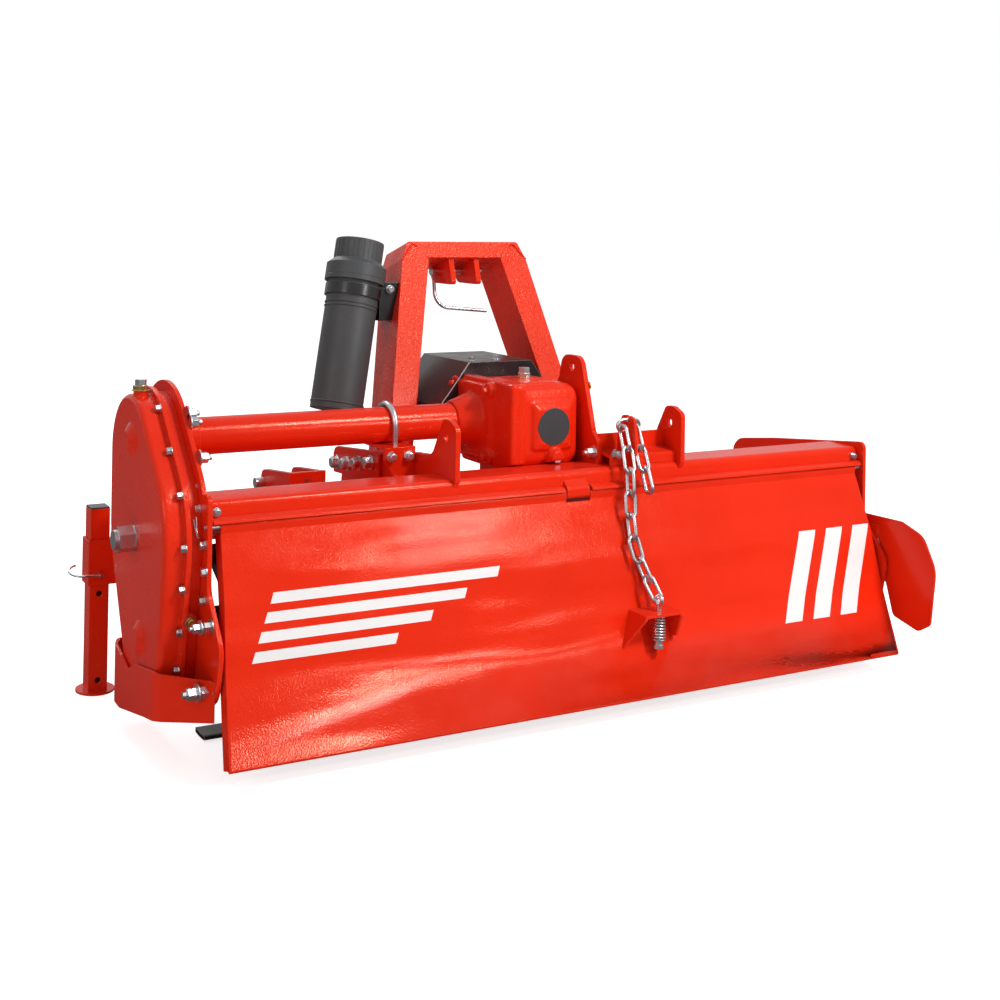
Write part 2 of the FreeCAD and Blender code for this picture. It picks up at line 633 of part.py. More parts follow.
def make_blades():
    """Every flange carries its blades in turn on its left and right sides, each flange a step further on."""
    blade = blade_shape()
    mirrored = blade.mirror(vec(0, 0, 0), X_AXIS)
    half = (v.rotor_gangs * v.gang_pitch) / 2
    step = 360 / v.blades_per_gang
    copies = []
    for gang in range(int(v.rotor_gangs)):
        x = -half + v.gang_pitch * (gang + 0.5)
        for i in range(int(v.blades_per_gang)):
            side = 1 if i % 2 else -1
            copy = (blade if side > 0 else mirrored).copy()
            turn = i * step + gang * step / v.rotor_gangs
            copy.rotate(vec(0, 0, 0), X_AXIS, turn)
            copy.translate(vec(x + side * v.flange_gauge / 2, 0, axis_z))
            copies.append(copy)
    piece("rotor_blades", shaped("rotor_blades", Part.makeCompound(copies)))


def make_rotor_bearing():
    ring = rod("bearing_flange", (outer, 0, axis_z), X_AXIS, "Sizes.journal_radius + 46", "10")
    hub = taper("bearing_hub", (outer + 9, 0, axis_z), X_AXIS, "Sizes.journal_radius + 24",
                "Sizes.journal_radius + 14", "24")
    bore = rod("bearing_bore", (outer - 1, 0, axis_z), X_AXIS, "Sizes.journal_radius + Sizes.running_gap",
               "Sizes.journal_length - 6")
    piece("rotor_bearing", carve("rotor_bearing", join("bearing_joined", ring, hub), bore))


# ---------------------------------------------------------------- mast and hitch

def leg_middle(z):
    """Half spread of the mast legs' middle lines at a height."""
    low = v.beam_height + v.beam_size
    high = v.mast_top - 40
    share = (z - low) / (high - low)
    foot, head = v.mast_foot_half - v.mast_leg / 2, v.mast_top_half - v.mast_leg / 2
    return foot + (head - foot) * share


def mast_rear_at(z):
    """How far ahead the mast's rear face is at a height."""
    return v.mast_rear - math.tan(math.radians(v.mast_lean)) * (v.mast_top - z)


def leaned(name, edges, inset, thickness):
    """A slab across the machine that leans forward with the mast, from an inset off its rear face."""
    sketch_turn = FreeCAD.Rotation(X_AXIS, -v.mast_lean).multiply(PLANES["XZ"])
    thing = slab(name, "XZ", (0, 0, 0), edges, thickness)
    thing.Reversed = True
    shift = sketch_turn.multVec(-Z_AXIS) * inset
    thing.Base.Placement = FreeCAD.Placement(vec(0, v.mast_rear, v.mast_top) + shift, sketch_turn)
    return thing


def make_mast():
    """An arch of bent plate: two leaning channel legs and a bevelled top."""
    lean = math.cos(math.radians(v.mast_lean))
    low = -(v.mast_top - v.beam_height - v.beam_size) / lean
    top, foot, leg, wall = v.mast_top_half, v.mast_foot_half, v.mast_leg, v.mast_wall
    bevel = 18
    outside = [(-foot, low), (-top, -40, 8), (-top + bevel, 0, 8), (top - bevel, 0, 8), (top, -40, 8),
               (foot, low)]
    opening = [(foot - leg, low), (top - leg - 14, -36, 4), (-top + leg + 14, -36, 4), (-foot + leg, low)]
    arch = leaned("mast_blank", loop_edges(outside + opening), 0, "Sizes.mast_depth")
    core_out = [(-foot + wall, low - 1), (-top + wall, -42), (-top + bevel + 4, -wall),
                (top - bevel - 4, -wall), (top - wall, -42), (foot - wall, low - 1)]
    core_in = [(foot - leg + wall, low - 1), (top - leg - 10, -32), (-top + leg + 10, -32),
               (-foot + leg - wall, low - 1)]
    core = leaned("mast_core", loop_edges(core_out + core_in), wall, "Sizes.mast_depth")
    piece("mast", carve("mast", arch, core, under_hood("mast_under")))


def make_top_link():
    """Two ears under the mast's top, the pin through them and its wire handle."""
    top = v.mast_top - 34
    tip = v.top_pin_forward + 30
    pin_z = v.mast_top - v.top_pin_drop
    low = pin_z - 26
    rear_low = mast_rear_at(low) + 8
    rear_top = mast_rear_at(top) + 8
    ears = []
    for side, name in ((-1, "left"), (1, "right")):
        x = side * (v.top_ear_gap / 2 + v.ear_gauge / 2) - v.ear_gauge / 2
        outline = loop_edges([(rear_low, low, 8), (tip - 6, low, 20), (tip, top, 6), (rear_top, top)])
        blank = slab(f"top_ear_{name}_blank", "YZ", (x, 0, 0), outline, "Sizes.ear_gauge")
        hole = rod(f"top_ear_{name}_hole", (x - 1, v.top_pin_forward, pin_z), X_AXIS,
                   "Sizes.top_pin_radius + Sizes.running_gap", "Sizes.ear_gauge + 2")
        ears.append(carve(f"top_ear_{name}", blank, hole, doc.getObject("mast_blank")))
    piece("top_link_ears", group("top_link_ears", *ears))
    reach = v.top_ear_gap / 2 + v.ear_gauge + 14
    pin_y = v.top_pin_forward
    shank = rod("top_pin_shank", (-reach, pin_y, pin_z), X_AXIS, "Sizes.top_pin_radius",
                "Sizes.top_ear_gap + 2 * Sizes.ear_gauge + 52")
    start = (-reach + 6, pin_y, pin_z)
    knee = (-reach - 2, pin_y - 22, pin_z - 44)
    bend = (-reach + 30, pin_y - 30, pin_z - 80)
    wire = shaped("top_pin_wire", swept_wire([
        [start, knee], [knee, (-reach + 6, pin_y - 27, pin_z - 68), bend],
        [bend, (reach + 22, pin_y - 34, pin_z - 88)],
    ], 4))
    piece("top_link_pin", join("top_link_pin", shank, wire))


def make_front_beam():
    half = v.beam_size / 2
    y = v.hood_front + 57
    blank = block("beam_blank", (-v.beam_half, y - half, v.beam_height - half), "2 * Sizes.beam_half",
                  "Sizes.beam_size", "Sizes.beam_size")
    core = block("beam_core", (-v.beam_half - 1, y - half + v.mast_wall, v.beam_height - half + v.mast_wall),
                 "2 * Sizes.beam_half + 2", "Sizes.beam_size - 2 * Sizes.mast_wall",
                 "Sizes.beam_size - 2 * Sizes.mast_wall")
    piece("front_beam", carve("front_beam", blank, core))
    arms = []
    for i, x in enumerate((-v.beam_half + 20, v.beam_half - 20)):
        arm = slab(f"beam_arm_{i}_blank", "YZ", (x - 5, 0, 0), loop_edges([
            (v.hood_knee + 40, v.beam_height + 50), (v.hood_knee + 90, v.beam_height + 50, 30),
            (y - half, v.beam_height + half - 4), (y - half, v.beam_height - half + 4),
            (v.hood_front - 6, v.beam_height - half + 4)]), "10")
        arms.append(carve(f"beam_arm_{i}", arm, under_hood(f"beam_arm_{i}_under")))
    piece("beam_arms", group("beam_arms", *arms))


def make_lower_hitch():
    """Each side has two ears, a rear cross plate and the hitch pin that stands out of the outer ear."""
    half = v.beam_size / 2
    rear = v.hood_front + 57 - half
    top = v.beam_height + half
    pin_y, pin_z = v.lower_pin_forward, v.lower_pin_height
    clevises = []
    pins = []
    for side, name in ((-1, "left"), (1, "right")):
        middle = side * v.lower_pin_spread / 2
        ears = []
        for i, offset in enumerate((v.hitch_gap / 2 + v.ear_gauge / 2, -v.hitch_gap / 2 - v.ear_gauge / 2)):
            outline = loop_edges([(rear, top), (rear, top + 50, 4), (pin_y + 8, pin_z + 27, 20),
                                  (pin_y + 27, pin_z - 24, 22), (rear + v.beam_size + 20, pin_z - 40, 20),
                                  (rear + v.beam_size, top - 20), (rear + v.beam_size, top)])
            ears.append(slab(f"{name}_hitch_ear_{i}", "YZ", (middle + side * offset - v.ear_gauge / 2, 0, 0),
                             outline, "Sizes.ear_gauge"))
        low_x = middle - v.hitch_gap / 2 - v.ear_gauge
        back = block(f"{name}_hitch_back", (low_x, rear, top), "Sizes.hitch_gap + 2 * Sizes.ear_gauge", "8",
                     "50")
        hole = rod(f"{name}_hitch_back_hole", (middle, rear - 1, top + 30), Y_AXIS, "8", "12")
        start = middle - side * (v.hitch_gap / 2 + v.ear_gauge + 14)
        bores = rod(f"{name}_hitch_bores", (start, pin_y, pin_z), X_AXIS * side,
                    "Sizes.lower_pin_radius + Sizes.running_gap", "200")
        clevises.append(carve(f"{name}_hitch_clevis", join(f"{name}_hitch_whole", *ears, back), hole, bores))
        pins.append(rod(f"{name}_hitch_pin", (start, pin_y, pin_z), X_AXIS * side, "Sizes.lower_pin_radius",
                        "Sizes.hitch_gap + 2 * Sizes.ear_gauge + 14 + Sizes.lower_pin_length"))
    piece("lower_hitch_ears", group("lower_hitch_ears", *clevises))
    piece("lower_hitch_pins", group("lower_hitch_pins", *pins))


def make_pto_guard():
    """A bent sheet over the input shaft, open below and in front, bolted round the gearbox's nose."""
    rear = shaft_y + v.box_front
    top, low = shaft_z + 110, shaft_z - 30
    outside = [(-150, low), (-150, shaft_z + 20), (-82, top), (70, top), (138, shaft_z + 20), (138, low)]
    inside = [(135, low), (135, shaft_z + 19), (68.6, top - 3), (-80.6, top - 3), (-147, shaft_z + 19),
              (-147, low)]
    depth = 104
    cover = slab("guard_sheet", "XZ", (0, rear + depth, 0), loop_edges(outside + inside), str(depth))
    back = slab("guard_back", "XZ", (0, rear + 3, 0), loop_edges(outside), "3")
    hole = rod("guard_hole", (0, rear - 1, shaft_z), Y_AXIS, "Sizes.nose_radius + 0.3", "6")
    piece("pto_guard", carve("pto_guard", join("guard_joined", cover, back), hole,
                             doc.getObject("box_flange"), doc.getObject("box_bell")))


# ---------------------------------------------------------------- deck fittings

def make_deck_brackets():
    """Long plates on the deck: an eared rear end and a front end that carries the mast and the beam."""
    deck = v.deck_height
    rear = -deck_rear - 8
    front = rear + v.bracket_length
    beam_top = v.beam_height + v.beam_size / 2
    plates = []
    for side, name in ((-1, "left"), (1, "right")):
        x = side * v.mast_foot_half + (0 if side > 0 else -v.bracket_gauge)
        outline = loop_edges([
            (rear, deck), (rear, deck + v.bracket_ear - 12, 14), (rear + 26, deck + v.bracket_ear, 18),
            (rear + 50, deck + v.bracket_ear, 16), (rear + 92, deck + v.bracket_low + 10, 26),
            (rear + 160, deck + v.bracket_low + 4, 30), (front - 8, deck - 30, 12), (front, beam_top + 4, 6),
            (front - 12, beam_top), (v.hood_front + 20, beam_top), (v.hood_front, v.hood_lip + 2),
            (v.hood_knee, deck - v.deck_fall - 20), (-deck_rear + v.deck_depth, deck - 20),
            (-deck_rear + 2, deck - 20),
        ])
        blank = slab(f"{name}_bracket_blank", "YZ", (x, 0, 0), outline, "Sizes.bracket_gauge")
        hole = rod(f"{name}_bracket_hole", (x - 1, rear + 39, deck + v.bracket_ear - 34), X_AXIS,
                   "Sizes.ear_hole", "Sizes.bracket_gauge + 2")
        plates.append(carve(f"{name}_bracket", blank, hole, under_hood(f"{name}_bracket_under")))
    piece("deck_brackets", group("deck_brackets", *plates))


def make_cross_plate():
    """Folded plate across the deck between the gusset and the right deck bracket."""
    left = v.gusset_place + v.gusset_gauge
    length = v.mast_foot_half - left
    deck = v.deck_height
    rear = -deck_rear + 8
    outline = loop_edges([
        (rear, deck), (rear, deck + 20, 5), (rear + 38, deck + 26), (rear + 40, deck + 58),
        (rear + 46, deck + 58), (rear + 46, deck), (rear + 40, deck), (rear + 40, deck + 20),
        (rear + 6, deck + 14, 3), (rear + 6, deck)])
    plate = slab("cross_plate_fold", "YZ", (left, 0, 0), outline, str(length))
    piece("cross_plate", carve("cross_plate", plate, doc.getObject("hook_blank")))


def make_chain_hook():
    """Upright plate on the deck with a slot, open above, that holds one link of the chain by its neck."""
    deck = v.deck_height
    y, z = v.hook_ahead - v.hinge_back, v.hook_height
    slot = v.link_wire + 0.6
    seat = z - v.link_half - 0.3
    outline = loop_edges([
        (y - 26, deck), (y + 34, deck), (y + 34, z - 24, 10), (y + 20, z + 18, 10), (y + slot, z + 20, 2),
        (y + slot, seat), (y - slot, seat), (y - slot, z + 20, 2),
        (y - 20, z + 14, 10), (y - 26, z - 30, 10),
    ])
    blank = slab("hook_blank", "YZ", (v.chain_place - 3, 0, 0), outline, "6")
    piece("chain_hook", group("chain_hook", blank))


def make_tube_clamp():
    """Angle plate under the drive tube and the U-bolt that holds the tube down on it."""
    wire = v.u_bolt_wire
    x = -v.u_bolt_place
    seat = shaft_z - v.tube_radius - 6
    reach = v.tube_radius + wire
    end = -v.mast_foot_half - v.bracket_gauge
    plate = block("clamp_seat", (x - 34, shaft_y - 64, seat), str(end - x + 34), "122", "6")
    web = slab("clamp_web", "XZ", (0, shaft_y - 58, 0), loop_edges([
        (x - 34, seat + 1), (x - 34, seat - 18, 14), (x + 2, v.deck_height - 44), (end, v.deck_height - 44),
        (end, seat + 1)]), "6")
    holes = [rod(f"clamp_hole_{i}", (x, shaft_y + side * reach, seat - 1), Z_AXIS,
                 "Sizes.u_bolt_wire + Sizes.running_gap", "8") for i, side in enumerate((-1, 1))]
    piece("tube_clamp", carve("tube_clamp", join("clamp_joined", plate, web), *holes,
                              under_hood("clamp_under")))
    low = seat - 16
    bolt = shaped("u_bolt_wire_shape", swept_wire([
        [(x, shaft_y - reach, low), (x, shaft_y - reach, shaft_z)],
        [(x, shaft_y - reach, shaft_z), (x, shaft_y, shaft_z + reach), (x, shaft_y + reach, shaft_z)],
        [(x, shaft_y + reach, shaft_z), (x, shaft_y + reach, low)],
    ], wire))
    nuts = [hexagon(f"u_bolt_nut_{i}", (x, shaft_y + side * reach, seat - 10), Z_AXIS, "19", "10")
            for i, side in enumerate((-1, 1))]
    piece("u_bolt", join("u_bolt", bolt, *nuts))


# ---------------------------------------------------------------- parking stand

def make_stand():
    x, y = -outer - v.stand_place, v.stand_forward
    half = v.stand_tube / 2
    blank = block("stand_blank", (x - half, y - half, v.foot_gauge), "Sizes.stand_tube", "Sizes.stand_tube",
                  "Sizes.stand_length")
    core = block("stand_core", (x - half + v.stand_wall, y - half + v.stand_wall, v.foot_gauge - 1),
                 "Sizes.stand_tube - 2 * Sizes.stand_wall", "Sizes.stand_tube - 2 * Sizes.stand_wall",
                 "Sizes.stand_length + 2")
    holes = [rod(f"stand_hole_{i}", (x, y - half - 1, z), Y_AXIS, "6", "Sizes.stand_tube + 2")
             for i, z in enumerate((24, 194))]
    foot = rod("stand_foot", (x, y, 0), Z_AXIS, "Sizes.foot_radius", "Sizes.foot_gauge")
    leg = carve("stand_tube_cut", blank, core, *holes)
    piece("stand_leg", join("stand_leg", leg, foot))
    piece("stand_cap", block("stand_cap", (x - half + 0.5, y - half + 0.5, v.foot_gauge + v.stand_length),
                             "Sizes.stand_tube - 1", "Sizes.stand_tube - 1", "3"))
    room = half + v.stand_gap
    out = room + v.sleeve_wall
    low = v.sleeve_low
    shell = block("sleeve_blank", (x - out, y - out, low),
                  "Sizes.stand_tube + 2 * Sizes.stand_gap + 2 * Sizes.sleeve_wall",
                  "Sizes.stand_tube + 2 * Sizes.stand_gap + 2 * Sizes.sleeve_wall", "Sizes.sleeve_length")
    bore = block("sleeve_core", (x - room, y - room, low - 1), "Sizes.stand_tube + 2 * Sizes.stand_gap",
                 "Sizes.stand_tube + 2 * Sizes.stand_gap", "Sizes.sleeve_length + 2")
    bridge = block("sleeve_bridge", (x + out - 1, y - out, low), str(-outer - x - out + 1 + v.side_gauge),
                   "8", "Sizes.sleeve_length")
    lug_rear, lug_front = v.hood_front - 10, y - out + 8
    lug = slab("sleeve_lug", "YZ", (-outer, 0, 0), loop_edges([
        (lug_rear, low + 88), (lug_rear, low), (lug_front, low), (lug_front, low + 88)]), "Sizes.side_gauge")
    pin_z = low + 20
    hole = rod("sleeve_hole", (x, y - out - 1, pin_z), Y_AXIS, "5", "Sizes.sleeve_wall + 2")
    plate_room = slab("sleeve_plate_room", "YZ", (-outer, 0, 0), loop_edges(side_outline()),
                      "Sizes.side_gauge")
    piece("stand_sleeve", carve("stand_sleeve", join("sleeve_joined", shell, bridge, lug), bore, hole,
                                plate_room))
    shank = rod("stand_pin_shank", (x, y - room - 0.3, pin_z), -Y_AXIS, "5", "Sizes.sleeve_wall + 12")
    tip_y = y - out - 8
    ring = shaped("stand_pin_ring", swept_wire([
        [(x, tip_y, pin_z), (x - 30, tip_y - 6, pin_z + 4)],
        [(x - 30, tip_y - 6, pin_z + 4), (x - 58, tip_y + 18, pin_z + 8), (x - 40, tip_y + 44, pin_z + 14)],
    ], 2.5))
    piece("stand_pin", join("stand_pin", shank, ring))


# ---------------------------------------------------------------- skids and side deflector

def meet(name, first, second):
    """What two things have in common."""
    common = doc.addObject("Part::MultiCommon", name)
    common.Shapes = [first, second]
    return common


def make_skids():
    """Shoes bent round the lower end of the case on the left and of the bearing on the right."""
    gauge = v.skid_gauge
    low, high = v.skid_low, v.skid_high
    front, rear = 196, -214
    under = [(front, low + 52), (162, low + 5, 40), (90, low, 80), (-60, low + 32, 90), (rear, low + 60)]
    over = [(rear, high + 10), (-100, high + 5, 60), (-4, high - 12), (44, high - 34, 5), (98, high - 17),
            (141, high - 6, 12), (front, high - 28)]
    side_shape = loop_edges(under + over)
    sole_shape = loop_edges(under + [(y, z + gauge, *radius) for y, z, *radius in reversed(under)])
    for side, node, face in ((-1, "left_skid", 7 - case_face), (1, "right_skid", outer + 44)):
        tip = side * face
        path_out = [(side * outer, -212), (side * (face - 8), -128, 24), (tip, -108, 30), (tip, 130, 30),
                    (side * (outer + 4), 194)]
        path_in = [(side * (outer + 4), 194 - gauge * 1.4), (tip - side * gauge, 130 - gauge * 0.6, 25),
                   (tip - side * gauge, -108 + gauge * 0.3, 25),
                   (side * (face - 8) - side * gauge * 0.6, -128 + gauge * 0.8, 19),
                   (side * outer, -212 + gauge * 1.2)]
        width = str(face - outer)
        start = min(tip, side * outer)
        band = slab(f"{node}_band", "XY", (0, 0, 0), loop_edges(path_out + path_in), "Sizes.skid_high + 20")
        footprint = slab(f"{node}_footprint", "XY", (0, 0, 0), loop_edges(path_out + [(side * outer, 194)]),
                         "Sizes.skid_high + 20")
        shape = slab(f"{node}_side_shape", "YZ", (start, 0, 0), side_shape, width)
        sole = slab(f"{node}_sole_shape", "YZ", (start, 0, 0), sole_shape, width)
        whole = join(f"{node}_joined", meet(f"{node}_wall", band, shape),
                     meet(f"{node}_sole", footprint, sole))
        if side < 0:
            room = slab(f"{node}_room", "YZ", (case_face, 0, 0), case_outline(v.case_rim + 0.3), width)
        else:
            room = rod(f"{node}_room", (inner, 0, axis_z), X_AXIS, "Sizes.journal_radius + 46.3", "60")
        piece(node, carve(node, whole, room))


def make_deflector():
    back = -v.fin_reach
    outline = loop_edges([
        (-120, 312, 10), (-120, 200, 10), (-150, v.skid_high + 22, 10), (-220, v.skid_high + 22, 12),
        (-242, 112, 14), (back + 44, 96, 14), (back + 12, 116, 16),
        (back, 232, 60), (back + 34, 296, 40), (-262, 315, 20),
    ])
    plate = slab("deflector_plate", "YZ", (outer + 4, 0, 0), outline, "Sizes.fin_gauge")
    spacer = block("deflector_spacer", (outer, -200, 200), "4", "70", "96")
    piece("side_deflector", join("side_deflector", plate, spacer))


# ---------------------------------------------------------------- tailgate

def gate_corners():
    """Corners of the tailgate's outer face in the YZ plane, from the hinge down."""
    back = -v.hinge_back
    return [
        vec(back - 5, v.hinge_height - 8), vec(back - v.bend_back, v.bend_height),
        vec(back - v.low_bend_back, v.low_bend_height), vec(back - v.lip_back, v.lip_height),
    ]


def gate_at(z):
    """How far ahead the tailgate's outer face lies at a height."""
    corners = gate_corners()
    for high, low in zip(corners, corners[1:]):
        if z >= low.y:
            break
    return high.x + (low.x - high.x) * (high.y - z) / (high.y - low.y)


def gate_band(inset, depth):
    """Closed outline between the outer face moved in by an inset, and the same face moved in further."""
    corners = gate_corners()
    ways = [(there - here).normalize() for here, there in zip(corners, corners[1:])]
    ways = [ways[0]] + ways + [ways[-1]]

    def moved(amount):
        points = []
        for i, corner in enumerate(corners):
            along = (ways[i] + ways[i + 1]).normalize()
            place = corner + vec(-along.y, along.x) * amount
            points.append((place.x, place.y) if i in (0, len(corners) - 1) else (place.x, place.y, 110))
        return points

    return loop_edges(moved(inset) + moved(inset + depth)[::-1])


def flared(thing, side):
    """Turns a tailgate end outwards about its upper corner."""
    corner = vec(side * (inner - v.gate_gap), 0, v.hinge_height)
    angle = math.degrees(math.atan2(v.gate_flare, v.hinge_height - v.lip_height))
    turn = FreeCAD.Placement(corner, FreeCAD.Rotation(Y_AXIS, -side * angle))
    back = FreeCAD.Placement(-corner, FreeCAD.Rotation())
    target = thing.Base if thing.TypeId == "Part::Extrusion" else thing
    target.Placement = turn.multiply(back).multiply(target.Placement)
    return thing


def make_tailgate():
    half = inner - v.gate_gap
    skin = slab("gate_skin", "YZ", (-half - v.gate_flare, 0, 0), gate_band(0, v.gate_gauge),
                "Sizes.hood_length - 2 * Sizes.gate_gap + 2 * Sizes.gate_flare")
    ends, trims = [], []
    for side, end_x, trim_x in ((-1, -half, -half - 90), (1, half - v.gate_gauge, half)):
        end = slab(f"gate_end_{side}", "YZ", (end_x, 0, 0), gate_band(0, v.gate_end_depth),
                   "Sizes.gate_gauge")
        ends.append(flared(end, side))
        trims.append(flared(block(f"gate_trim_{side}", (trim_x, -400, -60), "90", "400", "600"), side))
    top, low = gate_corners()[0], gate_corners()[-1]
    lip = slab("gate_lip", "YZ", (-half - v.gate_flare, 0, 0), loop_edges([
        (low.x, low.y), (low.x + 2, low.y - 4), (low.x + v.lip_fold, low.y + 2),
        (low.x + v.lip_fold, low.y + 6), (low.x + 5, low.y + 3)]),
        "Sizes.hood_length - 2 * Sizes.gate_gap + 2 * Sizes.gate_flare")
    roll = []
    rest = 2
    spans = ((-half, v.clip_left - rest), (v.clip_left + v.clip_length + rest, half))
    for i, (start, end) in enumerate(spans):
        place = (start, -v.hinge_back, v.hinge_height)
        roll.append(rod(f"gate_roll_{i}", place, X_AXIS, "Sizes.knuckle_radius", str(end - start)))
        roll.append(slab(f"gate_neck_{i}", "YZ", (start, 0, 0), loop_edges([
            (-v.hinge_back - v.knuckle_radius, v.hinge_height), (-v.hinge_back, v.hinge_height - 5),
            (top.x + 5, top.y - 10), (top.x, top.y - 10)]), str(end - start)))
    clip_room = block("gate_clip_room", (v.clip_left - rest, -v.hinge_back - 30, v.hinge_height - 14),
                      "Sizes.clip_length + 4", "60", "40")
    bore = rod("gate_hinge_bore", (-half - 1, -v.hinge_back, v.hinge_height), X_AXIS,
               "Sizes.hinge_rod + Sizes.running_gap",
               "Sizes.hood_length - 2 * Sizes.gate_gap + 2")
    piece("tailgate", carve("tailgate", join("gate_joined", skin, *ends, lip, *roll), bore, clip_room,
                            *trims))
    reach = outer + 3
    piece("hinge_rod", rod("hinge_rod", (-reach, -v.hinge_back, v.hinge_height), X_AXIS, "Sizes.hinge_rod",
                           str(2 * reach)))


def make_gate_bracket():
    """Bent strap on the tailgate that carries the spring, with the eye bolt through it."""
    x = v.chain_place + v.eye_right
    low = vec(-v.hinge_back - v.eye_back, v.eye_height)
    down = vec(0, -1)
    seat = low + down * 26
    top, foot = seat.y + 5, seat.y - 57
    hoop = slab("shelf_hoop", "XZ", (0, seat.x + 56, 0), loop_edges([
        (x - 74, foot), (x - 46, top), (x + 40, top), (x + 50, foot + 8),
        (x + 45, foot + 8), (x + 35, top - 5), (x - 42, top - 5), (x - 69, foot)]), "80")
    side_view = slab("shelf_side_view", "YZ", (x - 90, 0, 0), loop_edges([
        (seat.x - 22, top + 1), (seat.x - 22, top - 8), (gate_at(foot) - 4, foot - 1),
        (gate_at(foot) + 6, foot - 1), (gate_at(top) + 6, top + 1)]), "180")
    bolt_axis = vec(0, down.x, down.y)
    hole = rod("shelf_hole", (x, seat.x, seat.y + 12), bolt_axis, "5.5", "30")
    room = slab("shelf_gate_room", "YZ", (x - 100, 0, 0), gate_band(0, v.gate_gauge + 60), "200")
    piece("gate_bracket", carve("gate_bracket", meet("shelf_joined", hoop, side_view), hole, room))
    ring = doc.addObject("Part::Torus", "eye_ring")
    ring.Placement = FreeCAD.Placement(vec(x, low.x, low.y), turn_to(X_AXIS))
    bind(ring, Radius1=str(EYE_RADIUS), Radius2=str(EYE_WIRE))
    shank_from = low + down * 8
    shank = rod("eye_shank", (x, shank_from.x, shank_from.y), bolt_axis, "5", "84")
    end = low + down * 84
    nut = hexagon("eye_nut", (x, end.x, end.y), bolt_axis, "16", "8")
    spring_from = seat + down * 0.3
    washer_from = spring_from + down * v.spring_length
    washer = rod("eye_washer", (x, washer_from.x, washer_from.y), bolt_axis,
                 "Sizes.spring_radius + Sizes.spring_wire", "2")
    collar = rod("eye_collar", (x, washer_from.x, washer_from.y), bolt_axis, "7", "12")
    piece("eye_bolt", join("eye_bolt", ring, shank, nut, washer, collar))
    turns = 9
    pitch = v.spring_length / turns
    coils = []
    for i in range(turns):
        centre = spring_from + down * (pitch * (i + 0.5))
        coils.append(Part.makeTorus(v.spring_radius, v.spring_wire, vec(x, centre.x, centre.y), bolt_axis))
    tube_at = vec(x, spring_from.x, spring_from.y)
    tube = Part.makeCylinder(v.spring_radius + 0.6, v.spring_length, tube_at, bolt_axis)
    tube = tube.cut(Part.makeCylinder(v.spring_radius - 0.6, v.spring_length, tube_at, bolt_axis))
    piece("chain_spring", shaped("chain_spring", tube.fuse(coils)))


def link_shape(inside):
    """One chain link of an inside length round the origin, long along Z and flat in the YZ plane."""
    half = v.link_half - v.link_wire
    reach = inside / 2 + v.link_wire - half
    edges = [
        [(0, half, -reach), (0, half, reach)],
        [(0, half, reach), (0, 0, reach + half), (0, -half, reach)],
        [(0, -half, reach), (0, -half, -reach)],
        [(0, -half, -reach), (0, 0, -reach - half), (0, half, -reach)],
    ]
    return swept_wire(edges, v.link_wire)


def linked(link, stops):
    """Links along a row of stops, each turned a quarter from the one before."""
    links = []
    for i, (here, there) in enumerate(zip(stops, stops[1:])):
        copy = link.copy()
        copy.rotate(vec(0, 0, 0), Z_AXIS, 90 * (i % 2))
        heading = FreeCAD.Rotation(-Z_AXIS, (there - here).normalize())
        copy.Placement = FreeCAD.Placement((here + there) * 0.5, heading).multiply(copy.Placement)
        links.append(copy)
    return links


def make_chain():
    """Taut run from the hook to the eye bolt, and three spare links that hang from the hook's other side."""
    low = vec(-v.hinge_back - v.eye_back, v.eye_height)
    x = v.chain_place - 1.5
    play = 0.3
    offset = v.link_inside / 2 - v.link_half + 2 * v.link_wire
    seat = v.hook_height - v.link_half + 2 * v.link_wire + play
    start = vec(x - offset, v.hook_ahead - v.hinge_back, seat)
    last = vec(gate_at(244) - v.link_half - 2, 244)
    pull = (low - last).normalize() * (EYE_RADIUS - EYE_WIRE - play)
    ring_inside = vec(v.chain_place + v.eye_right, low.x - pull.x, low.y - pull.y)
    reach = v.link_half + 2
    route = Part.BSplineCurve()
    leans = [vec(v.chain_place + across, gate_at(z) - reach, z)
             for z, across in ((350, -30), (290, -28), (244, -8))]
    route.interpolate([start, vec(x - 22, gate_at(400) - reach - 6, 420), *leans, ring_inside])
    count = 2 * max(round(route.length() / (2 * v.link_inside)), 1)
    step = route.length() / count
    stops = [route.value(route.parameterAtDistance(step * i)) for i in range(count + 1)]
    pitch = max((there - here).Length for here, there in zip(stops, stops[1:]))
    link = link_shape(pitch + play)
    saddle = link.copy()
    saddle.rotate(vec(0, 0, 0), Z_AXIS, 90)
    saddle.rotate(vec(0, 0, 0), Y_AXIS, 90)
    saddle.translate(vec(x, v.hook_ahead - v.hinge_back, v.hook_height))
    hang = vec(0, -0.4, -0.917).normalize() * pitch
    spare_start = vec(x + offset, v.hook_ahead - v.hinge_back, seat)
    spare = linked(link, [spare_start + hang * i for i in range(4)])
    piece("chain", shaped("chain", Part.makeCompound([saddle] + linked(link, stops) + spare)))


